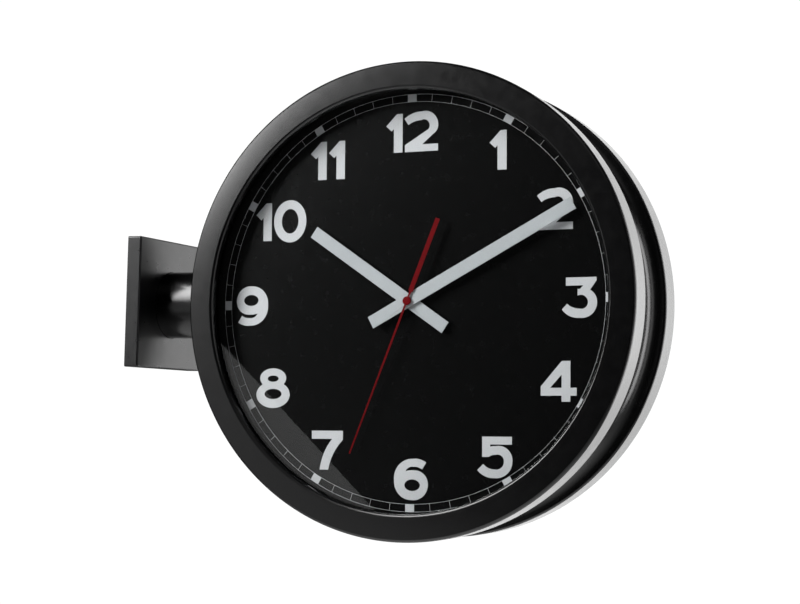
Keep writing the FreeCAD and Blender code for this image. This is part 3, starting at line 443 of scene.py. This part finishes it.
HAND_RED = surface("hand_red", (0.17, 0.0006, 0.003), (0.4, 0.5), vary=0.08, grain=1600, height=1e-6,
                   Specular_IOR_Level=0.08)
ZINC_STEEL = surface("zinc_steel", (0.55, 0.55, 0.54), (0.25, 0.42), vary=0.1, blotch=90, Metallic=1.0)
STRIP_STEEL = surface("strip_steel", (0.5, 0.5, 0.51), (0.2, 0.32), vary=0.08, Metallic=1.0)
CORE_STEEL = surface("core_steel", (0.4, 0.4, 0.41), (0.35, 0.5), vary=0.12, Metallic=1.0)
BRASS = surface("turned_brass", (0.72, 0.5, 0.2), (0.2, 0.3), vary=0.08, grain=2200, Metallic=1.0)
MOULDED_BLACK = surface("moulded_black", (0.012, 0.012, 0.013), (0.4, 0.5), grain=1200, height=8e-6)
MOULDED_GREY = surface("moulded_grey", (0.4, 0.4, 0.39), (0.4, 0.5), vary=0.05)
ACETAL = surface("acetal", (0.68, 0.65, 0.56), (0.35, 0.45), vary=0.05)
LAMINATE = surface("laminate", (0.2, 0.1, 0.03), (0.4, 0.5), vary=0.2, blotch=200)
CELL_SLEEVE = surface("cell_sleeve", (0.05, 0.055, 0.065), (0.2, 0.3), vary=0.1, Metallic=0.4)


def winding():
    """Enamelled copper wire, wound round the x axis."""
    material, tree, shader = new_material("wound_copper", (0.55, 0.2, 0.07), 0.3, Metallic=0.7)
    place = tree.nodes.new("ShaderNodeTexCoord")
    wave = tree.nodes.new("ShaderNodeTexWave")
    wave.inputs["Scale"].default_value = WIRE_SCALE
    wave.inputs["Distortion"].default_value = WIRE_DISTORTION
    tree.links.new(place.outputs["Object"], wave.inputs["Vector"])
    mottle(tree, shader, wave.outputs["Fac"], (0.3, 0.09, 0.03), (0.6, 0.24, 0.09))
    bump(tree, shader, wave.outputs["Fac"], WIRE_RELIEF)
    return material


WOUND_COPPER = winding()

# ---------------------------------------------------------------- heads: case ring, lens, dial


def case_ring(side):
    """Face, rounded edge, skirt, lip and rib in one section. The arcs at the face's corners are longer
    than the lines between them, so the section doubles back at the lip, the crown and the outer edge."""
    face_back = FACE + FACE_DROP + SKIN
    rib_inner = STACK_RADIUS + STACK_PLAY
    corners = [
        (LIP_RADIUS, FACE, LIP_ROUND),
        (CROWN_RADIUS, FACE + CROWN_DROP, CROWN_ROUND),
        (CASE_RADIUS - FRONT_SLOPE, FACE + FACE_DROP, FACE_ROUND),
        (CASE_RADIUS, FACE + FACE_DROP + FRONT_SLOPE, FRONT_ROUND),
        (CASE_RADIUS, HEAD_BACK, BACK_ROUND),
        (CASE_RADIUS - SKIN, HEAD_BACK, SMALL_ROUND),
        (CASE_RADIUS - SKIN, face_back, SMALL_ROUND),
        (rib_inner + RIB_SKIN, face_back),
        (rib_inner + RIB_SKIN, DIAL_BACK, SMALL_ROUND),
        (rib_inner, DIAL_BACK, SMALL_ROUND),
        (rib_inner, face_back),
        (LIP_RADIUS + SKIN, face_back),
        (LIP_RADIUS + SKIN, LENS_FRONT),
        (LIP_RADIUS, LENS_FRONT, SMALL_ROUND),
    ]
    ring = lathe(f"{side}_case_ring", corners, HEAD_PLACES[side])
    dress(ring, f"{side}_head", [f"{side}_bezel"], SATIN_CASE)


def lens_pane(side):
    corners = [
        (0, LENS_FRONT),
        (STACK_RADIUS, LENS_FRONT, LENS_EDGE),
        (STACK_RADIUS, LENS_BACK, LENS_EDGE),
        (0, LENS_BACK),
    ]
    glass = lathe(f"{side}_pane", corners, HEAD_PLACES[side])
    dress(glass, f"{side}_head", [f"{side}_lens"], CLEAR_PANE)


def spacer(side):
    corners = [
        (STACK_RADIUS - SPACER_SKIN, LENS_BACK, SMALL_ROUND),
        (STACK_RADIUS, LENS_BACK, SMALL_ROUND),
        (STACK_RADIUS, DIAL_FRONT, SMALL_ROUND),
        (STACK_RADIUS - SPACER_SKIN, DIAL_FRONT, SMALL_ROUND),
    ]
    ring = lathe(f"{side}_spacer", corners, HEAD_PLACES[side])
    dress(ring, f"{side}_head", [f"{side}_spacer_ring"], SPACER_BLACK)


def dial_disc(side):
    corners = [
        (DIAL_HOLE_RADIUS, DIAL_FRONT, DIAL_EDGE),
        (STACK_RADIUS, DIAL_FRONT, DIAL_EDGE),
        (STACK_RADIUS, DIAL_BACK, DIAL_EDGE),
        (DIAL_HOLE_RADIUS, DIAL_BACK, DIAL_EDGE),
    ]
    disc = lathe(f"{side}_dial_disc", corners, HEAD_PLACES[side])
    dress(disc, f"{side}_head", [f"{side}_dial"], DIAL_BLACK)


# ---------------------------------------------------------------- print of the dial


def arc_points(start, middle, end):
    """Points after the start on the arc through three points."""
    start, end = Vector(start), Vector(end)
    ab, ac = Vector(middle) - start, end - start
    twice = 2 * ab.cross(ac)
    centre = start + Vector((ac.y * ab.length_squared - ab.y * ac.length_squared,
                             ab.x * ac.length_squared - ac.x * ab.length_squared)) / twice
    first = math.atan2(start.y - centre.y, start.x - centre.x)
    way = 2 * math.pi if twice > 0 else -2 * math.pi
    sweep = (math.atan2(end.y - centre.y, end.x - centre.x) - first) % way
    radius = (start - centre).length
    angles = (first + sweep * step / CURVE_STEPS for step in range(1, CURVE_STEPS + 1))
    return [(centre.x + radius * math.cos(a), centre.y + radius * math.sin(a)) for a in angles]


def path(start, *steps):
    """Closed outline. A step is a corner, or a point on an arc and the arc's end."""
    outline = [start]
    for step in steps:
        if len(step) == 4:
            outline += arc_points(outline[-1], step[:2], step[2:])
        else:
            outline.append(step)
    return outline


def oval(across, up, half_width, half_height, first=0.0):
    """Ellipse-shaped outline that starts at an angle in degrees."""
    steps = 4 * CURVE_STEPS
    angles = (math.radians(first) + 2 * math.pi * step / steps for step in range(steps))
    return [(across + half_width * math.cos(a), up + half_height * math.sin(a)) for a in angles]


def outside(outline, across, up, half_width, half_height):
    """The outline's points outside an ellipse."""
    return [(x, y) for x, y in outline
            if ((x - across) / half_width) ** 2 + ((y - up) / half_height) ** 2 > 1]


def digit_outlines():
    """Outlines of the ten digits and their widths, each on the baseline with its left side at zero."""
    six_width, six_rise = 30.4, 32.8
    six = [path((28.8, 30.6), (23.4, 33.2, 16.8, 33.6), (4.8, 29, 0, 15.6), (4.3, 4, 15.6, -0.6),
                (26.4, 2.9, 30.4, 11.9), (27, 20.6, 18.2, 24), (13.8, 24, 10.2, 23.2),
                (13, 26.2, 17.6, 27), (21.6, 26.6, 25.2, 24.9)),
           oval(16.3, 11.7, 7, 4.8)]
    nine = [[(six_width - x, six_rise - y) for x, y in outline] for outline in six]
    lower, upper = (16, 11.2, 16, 11.5), (16, 25.4, 12.5, 8.5)
    eight = [outside(oval(*lower, first=90), *upper) + outside(oval(*upper, first=-90), *lower),
             oval(16, 25, 5.3, 2.7), oval(16, 11.8, 8.2, 4.4)]
    return {
        "0": ([oval(15.5, 16.5, 15.5, 18.4), oval(15.5, 16.5, 8, 10.7)], 31),
        "1": ([path((7, 0), (15, 0), (15, 33), (9.8, 33), (0, 23), (4.9, 18.4), (7, 20.5))], 15),
        "2": ([path((0, 0), (30, 0), (30, 6), (15.7, 6), (25.6, 14.4), (29.6, 18.9, 30, 23.6),
                    (25.8, 31.4, 15, 33.9), (6.6, 32.6, -0.5, 28.4), (3.1, 23), (8.2, 25.6, 14.6, 26.5),
                    (20.8, 25.6, 22.3, 22.4), (22, 19.8, 19.6, 17.6), (0, 6))], 30),
        "3": ([path((3.4, 33), (29.1, 33), (29.1, 30.2), (23.8, 22.7), (28, 18.6, 29.6, 12.8),
                    (25.6, 3.4, 15, 0.2), (6.6, 1.7, 0, 7.2), (4.4, 11.8), (9.2, 8.7, 15, 7.6),
                    (20.4, 9, 22, 12.9), (20.2, 17, 13.3, 18.2), (13.3, 23.6), (15.4, 23.6), (18, 26.4),
                    (3.4, 26.4))], 29.6),
        "4": ([path((17.7, 0), (25.1, 0), (25.1, 4.9), (30.4, 4.9), (30.4, 11.3), (25.1, 11.3),
                    (25.1, 33), (17.9, 33), (0, 12.4), (0, 4.9), (17.7, 4.9)),
               path((8, 11.3), (17.7, 22), (17.7, 11.3))], 30.4),
        "5": ([path((4.2, 33), (4.2, 16.4), (10, 16.4), (12.6, 17.8, 16, 18.2), (21.4, 17, 23.1, 12.7),
                    (21, 7.8, 15.2, 6.3), (9.6, 7.4, 5.2, 10.6), (0, 5.6), (6.4, 0.8, 14.8, -0.8),
                    (26, 2.9, 30.5, 12.7), (26.6, 22.4, 16, 25.3), (13.4, 25.2, 11.2, 24.8), (11.2, 26.6),
                    (30, 26.6), (30, 33))], 30.5),
        "6": (six, six_width),
        "7": ([path((0, 33), (29, 33), (29, 25.3), (21, 15, 15.6, 0), (7.6, 0), (12.3, 15.8, 19, 26.1),
                    (0, 26.1))], 29),
        "8": (eight, 32),
        "9": (nine, six_width),
    }


def numeral(number, digits):
    """Outlines of one hour's numeral, centred on its place."""
    text = str(number)
    width = sum(digits[mark][1] for mark in text) + DIGIT_GAP * (len(text) - 1)
    left = NUMERAL_PLACES[number][0] - width / 2
    baseline = NUMERAL_PLACES[number][1] - DIGIT_HEIGHT / 2
    outlines = []
    for mark in text:
        drawn, advance = digits[mark]
        outlines += [[(left + x, baseline + y) for x, y in outline] for outline in drawn]
        left += advance + DIGIT_GAP
    return outlines


def turned_outline(outline, reading):
    """An outline drawn upright, turned to a reading of the dial in degrees clockwise from its 12."""
    angle = math.radians(reading - DIAL_TURN)
    c, s = math.cos(angle), math.sin(angle)
    return [(c * x + s * y, c * y - s * x) for x, y in outline]


def minute_track():
    """Two hairline rings with a tick for every minute and a square for every hour."""
    outlines = []
    for radius in (TRACK_INNER, TRACK_OUTER):
        outlines += [circle(radius - HAIRLINE / 2), circle(radius + HAIRLINE / 2)]
    low = TRACK_INNER + HAIRLINE / 2 + TICK_CLEARANCE
    high = TRACK_OUTER - HAIRLINE / 2 - TICK_CLEARANCE
    for minute in range(60):
        half = (HAIRLINE if minute % 5 else HOUR_MARK_WIDTH) / 2
        across = [half * (2 * step / CURVE_STEPS - 1) for step in range(CURVE_STEPS + 1)]
        mark = [(x, math.sqrt(high ** 2 - x ** 2)) for x in across]
        mark += [(x, math.sqrt(low ** 2 - x ** 2)) for x in reversed(across)]
        outlines.append(turned_outline(mark, MINUTE_DEGREES * minute))
    return outlines


def print_outlines():
    digits = digit_outlines()
    outlines = minute_track()
    for number in NUMERAL_PLACES:
        outlines += [turned_outline(outline, 0) for outline in numeral(number, digits)]
    return outlines


def dial_print(side, outlines):
    ink = flat_plate(f"{side}_dial_print", outlines, DIAL_FRONT - PRINT_THICKNESS, DIAL_FRONT,
                     HEAD_PLACES[side])
    dress(ink, f"{side}_head", [f"{side}_dial_markings"], INK_WHITE)


# ---------------------------------------------------------------- hands


def dress_hand(part, side, hand, material):
    """Put a part of a hand on the body that turns with the hand."""
    dress(part, f"{side}_{hand.removesuffix('_hand')}", [f"{side}_{hand}"], material)


def bar_hand(side, hand, reach, tail, bore):
    """Straight hand with square ends, on a collet that grips its pipe."""
    half = HAND_WIDTH / 2
    bar = [(-half, -tail), (half, -tail), (half, reach), (-half, reach)]
    outlines = [turned_outline(bar, HAND_READINGS[hand]), circle(bore, BORE_STEPS)]
    front = span(f"front_{hand}", "y")[0]
    back = front + HAND_THICKNESS
    blade = flat_plate(f"{side}_{hand}_blade", outlines, front, back, HEAD_PLACES[side], BLADE_EDGE)
    dress_hand(blade, side, hand, HAND_WHITE)
    corners = [
        (bore, back),
        (COLLET_RADIUS, back),
        (COLLET_RADIUS, back + COLLET_LENGTH, COLLET_EDGE),
        (bore, back + COLLET_LENGTH, COLLET_BORE_EDGE),
    ]
    collet = lathe(f"{side}_{hand}_collet", corners, HEAD_PLACES[side])
    dress_hand(collet, side, hand, BRASS)


def second_hand(side):
    """Thin tapered pointer with a broader counterweight bar, and a round cap with its hub.
    Both are drawn without the bore, which the cap covers."""
    hand = "second_hand"
    tip, root, tail = SECOND_TIP_WIDTH / 2, SECOND_ROOT_WIDTH / 2, SECOND_TAIL_WIDTH / 2
    right = [
        (tip, SECOND_REACH),
        (root, 0),
        (root, -SECOND_NECK),
        (tail, -SECOND_NECK),
        (tail, -SECOND_TAIL),
    ]
    outline = [(-x, y) for x, y in right] + right[::-1]
    cap_front = span(f"front_{hand}", "y")[0]
    front = cap_front + SECOND_CAP_HEIGHT
    pointer = flat_plate(f"{side}_{hand}_blade", [turned_outline(outline, HAND_READINGS[hand])],
                         front, front + SECOND_THICKNESS, HEAD_PLACES[side], POINTER_EDGE)
    dress_hand(pointer, side, hand, HAND_RED)
    corners = [
        (0, cap_front),
        (SECOND_CAP_RADIUS, cap_front, SECOND_CAP_ROUND),
        (SECOND_CAP_RADIUS, front + SECOND_HUB_LENGTH, SECOND_HUB_EDGE),
        (0, front + SECOND_HUB_LENGTH),
    ]
    cap = lathe(f"{side}_{hand}_cap", corners, HEAD_PLACES[side])
    dress_hand(cap, side, hand, HAND_RED)


marks = print_outlines()
for side in SIDES:
    case_ring(side)
    lens_pane(side)
    spacer(side)
    dial_disc(side)
    dial_print(side, marks)
    bar_hand(side, "hour_hand", HOUR_REACH, HOUR_TAIL, HOUR_PIPE_RADIUS)
    bar_hand(side, "minute_hand", MINUTE_REACH, MINUTE_TAIL, CANNON_RADIUS)
    second_hand(side)

# ---------------------------------------------------------------- centre drum


def drum():
    """Waisted ring with flared rims and a spigot at each side. The tube passes into it without a hole."""
    cove = FLARE_RADIUS - WAIST_RADIUS
    spigot_end = HALF_WAIST + SPIGOT_LENGTH
    half = [
        (SPIGOT_INNER, spigot_end, SMALL_ROUND),
        (SPIGOT_OUTER, spigot_end, SMALL_ROUND),
        (SPIGOT_OUTER, HALF_WAIST),
        (FLARE_RADIUS, HALF_WAIST),
        (WAIST_RADIUS, HALF_WAIST, cove),
    ]
    inner_cove = cove + DRUM_SKIN
    low = HALF_WAIST - cove + math.sqrt(inner_cove ** 2 - (FLARE_RADIUS - SPIGOT_INNER) ** 2)
    inner = []
    for step in range(ARC_STEPS + 1):
        y = HALF_WAIST - cove + (low - HALF_WAIST + cove) * step / ARC_STEPS
        inner.append((FLARE_RADIUS - math.sqrt(inner_cove ** 2 - (y - HALF_WAIST + cove) ** 2), y))
    corners = half + [(r, -y, *rest) for r, y, *rest in reversed(half)]
    corners += [(r, -y) for r, y in reversed(inner)] + inner
    shell = lathe("drum_shell", corners, DRUM_PLACE)
    dress(shell, "bracket", ["centre_drum"], GLOSS_DRUM)


def drum_seat():
    """Pad in the drum behind the tube's flange. It meets the drum's wall only near its top and bottom."""
    outline = rounded([
        (SEAT_HALF_WIDTH, SEAT_HALF_HEIGHT, SEAT_CORNER),
        (-SEAT_HALF_WIDTH, SEAT_HALF_HEIGHT, SEAT_CORNER),
        (-SEAT_HALF_WIDTH, -SEAT_HALF_HEIGHT, SEAT_CORNER),
        (SEAT_HALF_WIDTH, -SEAT_HALF_HEIGHT, SEAT_CORNER),
    ])
    wall = CLOCK_X - math.sqrt(WAIST_RADIUS ** 2 - SEAT_HALF_HEIGHT ** 2) + SEAT_SINK
    pad = flat_plate("drum_seat", [outline, circle(TUBE_RADIUS)], wall, SEAT_X, TUBE_PLACE, SEAT_EDGE)
    dress(pad, "bracket", ["centre_drum"], GLOSS_DRUM)


drum()
drum_seat()

# ---------------------------------------------------------------- bracket


def tube():
    near, far = span("bracket_tube", "x")
    corners = [
        (TUBE_RADIUS - TUBE_WALL, near, TUBE_EDGE),
        (TUBE_RADIUS, near, TUBE_EDGE),
        (TUBE_RADIUS, far, TUBE_EDGE),
        (TUBE_RADIUS - TUBE_WALL, far, TUBE_EDGE),
    ]
    pipe = lathe("bracket_pipe", corners, TUBE_PLACE)
    dress(pipe, "bracket", ["bracket_tube"], GLOSS_TUBE)


def square_loop(half, radius):
    """Square with rounded corners about the origin. It has the same count of points at every size."""
    loop = []
    for quarter in range(4):
        turn = Matrix.Rotation(quarter * math.pi / 2, 2)
        for step in range(SIDE_STEPS):
            loop.append(turn @ Vector((half, (half - radius) * (2 * step / SIDE_STEPS - 1))))
        for step in range(ARC_STEPS):
            angle = step / ARC_STEPS * math.pi / 2
            loop.append(turn @ Vector((half - radius + radius * math.cos(angle),
                                       half - radius + radius * math.sin(angle))))
    return loop


def wall_cover():
    """Square cap with rounded edges, open at the back, with a round opening for the tube."""
    low, depth = span("plate_cover", "x")
    half = span("plate_cover", "z")[1]
    opening = TUBE_RADIUS + TUBE_PLAY
    inner = depth - COVER_SKIN

    def ring_round(radius):
        return [point.normalized() * radius for point in square_loop(half, COVER_ROUND)]

    rings = [
        (ring_round(opening), inner),
        (ring_round(opening), depth - COVER_EDGE),
        (ring_round(opening + COVER_EDGE), depth),
    ]
    for step in range(ARC_STEPS + 1):
        angle = step / ARC_STEPS * math.pi / 2
        inset = COVER_ROUND * (1 - math.sin(angle))
        loop = square_loop(half - inset, max(COVER_ROUND - inset, COVER_LEAST_ROUND))
        rings.append((loop, depth - COVER_ROUND * (1 - math.cos(angle))))
    inside = square_loop(half - COVER_SKIN, COVER_INNER_ROUND)
    rings += [(square_loop(half, COVER_ROUND), low), (inside, low), (inside, inner)]
    made = bmesh.new()
    loops = [[made.verts.new((x, across, up)) for across, up in loop] for loop, x in rings]
    for index, loop in enumerate(loops):
        other = loops[(index + 1) % len(loops)]
        for step in range(len(loop)):
            after = (step + 1) % len(loop)
            made.faces.new((loop[step], loop[after], other[after], other[step]))
    bmesh.ops.recalc_face_normals(made, faces=made.faces)
    made.transform(CLOCK_PLACE)
    mesh = bpy.data.meshes.new("wall_cover")
    made.to_mesh(mesh)
    made.free()
    cap = finish_mesh("wall_cover", mesh)
    dress(cap, "cover", ["plate_cover"], SATIN_COVER)


tube()
wall_cover()

# ---------------------------------------------------------------- pieces that keep their own shape

KEPT = {
    "wall_plate": ZINC_STEEL,
    "tube_flange": GLOSS_TUBE,
    "bracket_screws": ZINC_STEEL,
    "retaining_clips": STRIP_STEEL,
}
KEPT_IN_HEAD = {
    "shaft_nut": BRASS,
    "movement_case": MOULDED_BLACK,
    "movement_cover": MOULDED_BLACK,
    "rotor": ACETAL,
    "intermediate_wheel": ACETAL,
    "second_wheel": ACETAL,
    "third_wheel": ACETAL,
    "centre_wheel": ACETAL,
    "cannon_pinion": BRASS,
    "motion_wheel": ACETAL,
    "set_knob": MOULDED_GREY,
    "hour_wheel": ACETAL,
    "stator": CORE_STEEL,
    "coil": WOUND_COPPER,
    "circuit_board": LAMINATE,
    "battery": CELL_SLEEVE,
    "battery_contacts": STRIP_STEEL,
    "back_plate": MOULDED_BLACK,
}


def keep(node, material):
    """Carry a CAD node over with welded, smooth and softly creased faces."""
    item = nodes[node]
    item.data.materials.clear()
    item.data.materials.append(material)
    item.data.shade_smooth()
    weld = item.modifiers.new("weld", "WELD")
    weld.merge_threshold = WELD_DISTANCE
    normals = item.modifiers.new("normals", "WEIGHTED_NORMAL")
    normals.keep_sharp = True
    soften(item, KEPT_EDGE)
    item.modifiers.move(1, 0)


for node, material in KEPT.items():
    keep(node, material)
for side in SIDES:
    for node, material in KEPT_IN_HEAD.items():
        keep(f"{side}_{node}", material)

# ---------------------------------------------------------------- camera

CAMERA_AZIMUTH = 22.71
CAMERA_ELEVATION = -3.72
CAMERA_ROLL = 1.37
CAMERA_DISTANCE = 1508.8
CAMERA_TARGET = Vector((CLOCK_X - 0.47, FACE, -2.0))
CAMERA_LENS = 82.1
SENSOR_WIDTH = 36
CLIP_NEAR = 0.05
CLIP_FAR = 100


def make_camera():
    roll = math.radians(CAMERA_ROLL)
    back = direction(CAMERA_AZIMUTH, CAMERA_ELEVATION)
    right = (-back).cross(Vector((0, 0, 1))).normalized()
    up = right.cross(-back)
    turned_right = math.cos(roll) * right + math.sin(roll) * up
    turned_up = math.cos(roll) * up - math.sin(roll) * right
    data = bpy.data.cameras.new("camera")
    data.lens = CAMERA_LENS
    data.sensor_width = SENSOR_WIDTH
    data.sensor_fit = "HORIZONTAL"
    data.clip_start = CLIP_NEAR
    data.clip_end = CLIP_FAR
    camera = bpy.data.objects.new("camera", data)
    bpy.context.scene.collection.objects.link(camera)
    turn = Matrix((turned_right, turned_up, back)).transposed().to_4x4()
    camera.matrix_world = Matrix.Translation((CAMERA_TARGET + back * CAMERA_DISTANCE) * MM) @ turn
    bpy.context.scene.camera = camera


make_camera()

# ---------------------------------------------------------------- studio

FLOOR_HEIGHT = -2.2
FLOOR_LAMP_HEIGHT = 1.1
FLOOR_LAMP_SIZE = 3
FLOOR_LAMP_RADIANCE = 1
FLOOR_HALF = 4
BACKDROP_RADIANCE = 2.2
BACKDROP_REACH = (25.5, 23)
ROOM_RADIANCE = 0.02
SEEN_WHITE = 1.05


def area_lamp(name, width, height, radiance, place):
    """Area light of that brightness, which shines along its own -Z."""
    data = bpy.data.lights.new(name, "AREA")
    data.shape = "RECTANGLE"
    data.size = width
    data.size_y = height
    data.energy = 4 * radiance * width * height
    lamp = bpy.data.objects.new(name, data)
    bpy.context.scene.collection.objects.link(lamp)
    lamp.matrix_world = place
    lamp.visible_camera = False


def softbox(name, azimuth, elevation, distance, width, height, radiance, turn=0.0):
    """Area light that looks at the clock's centre from that side."""
    outward = direction(azimuth, elevation)
    centre = Vector((CLOCK_X * MM, 0, 0))
    facing = outward.to_track_quat("Z", "Y").to_matrix().to_4x4()
    facing = facing @ Matrix.Rotation(math.radians(turn), 4, "Z")
    place = Matrix.Translation(centre + outward * distance) @ facing
    area_lamp(name, width, height, radiance, place)


def floor_lamp():
    """Wide lamp under the clock that shines down and lights the floor."""
    place = Matrix.Translation((CLOCK_X * MM, 0, FLOOR_HEIGHT + FLOOR_LAMP_HEIGHT))
    area_lamp("floor_lamp", FLOOR_LAMP_SIZE, FLOOR_LAMP_SIZE, FLOOR_LAMP_RADIANCE, place)


def make_world():
    """White to the camera. Light and reflections get a bright backdrop behind and a dim room around."""
    world = bpy.data.worlds.new("studio")
    bpy.context.scene.world = world
    world.use_nodes = True
    tree = world.node_tree
    tree.nodes.clear()
    link = tree.links.new
    place = tree.nodes.new("ShaderNodeTexCoord")
    away = tree.nodes.new("ShaderNodeVectorMath")
    away.operation = "DOT_PRODUCT"
    away.inputs[1].default_value = (0, 1, 0)
    ramp = tree.nodes.new("ShaderNodeMapRange")
    ramp.interpolation_type = "SMOOTHSTEP"
    edge, full = BACKDROP_REACH
    ramp.inputs["From Min"].default_value = math.cos(math.radians(edge))
    ramp.inputs["From Max"].default_value = math.cos(math.radians(full))
    ramp.inputs["To Min"].default_value = ROOM_RADIANCE
    ramp.inputs["To Max"].default_value = BACKDROP_RADIANCE
    lit = tree.nodes.new("ShaderNodeBackground")
    seen = tree.nodes.new("ShaderNodeBackground")
    rays = tree.nodes.new("ShaderNodeLightPath")
    mix = tree.nodes.new("ShaderNodeMixShader")
    output = tree.nodes.new("ShaderNodeOutputWorld")
    seen.inputs["Color"].default_value = (1, 1, 1, 1)
    seen.inputs["Strength"].default_value = SEEN_WHITE
    link(place.outputs["Generated"], away.inputs[0])
    link(away.outputs["Value"], ramp.inputs["Value"])
    link(ramp.outputs["Result"], lit.inputs["Strength"])
    link(rays.outputs["Is Camera Ray"], mix.inputs["Fac"])
    link(lit.outputs["Background"], mix.inputs[1])
    link(seen.outputs["Background"], mix.inputs[2])
    link(mix.outputs["Shader"], output.inputs["Surface"])


def make_floor():
    mesh = bpy.data.meshes.new("floor")
    signs = ((-1, -1), (1, -1), (1, 1), (-1, 1))
    corners = [(x * FLOOR_HALF, y * FLOOR_HALF, FLOOR_HEIGHT) for x, y in signs]
    mesh.from_pydata(corners, [], [(0, 1, 2, 3)])
    floor = bpy.data.objects.new("floor", mesh)
    bpy.context.scene.collection.objects.link(floor)
    pale = surface("pale_floor", (0.8, 0.8, 0.8), (0.6, 0.7), vary=0.01, blotch=2, grain=60)
    mesh.materials.append(pale)


make_world()
make_floor()
floor_lamp()
softbox("key_light", azimuth=-42.5, elevation=34.5, distance=2.77, width=0.95, height=2.43,
        radiance=12.4, turn=-4.4)
softbox("low_panel", azimuth=-35.2, elevation=-10.1, distance=2.37, width=1.8, height=0.9,
        radiance=0.42, turn=-46.9)
softbox("fill_light", azimuth=30, elevation=50, distance=2.3, width=1.5, height=1.1, radiance=0.3)
softbox("right_light", azimuth=75, elevation=0, distance=2.3, width=0.68, height=2.6, radiance=1.2)
softbox("side_light", azimuth=110, elevation=0, distance=2.3, width=1.2, height=2.6, radiance=5)
softbox("back_light", azimuth=141, elevation=0, distance=2.3, width=1.3, height=2.6, radiance=2.8)

bpy.context.scene.view_settings.view_transform = "Standard"
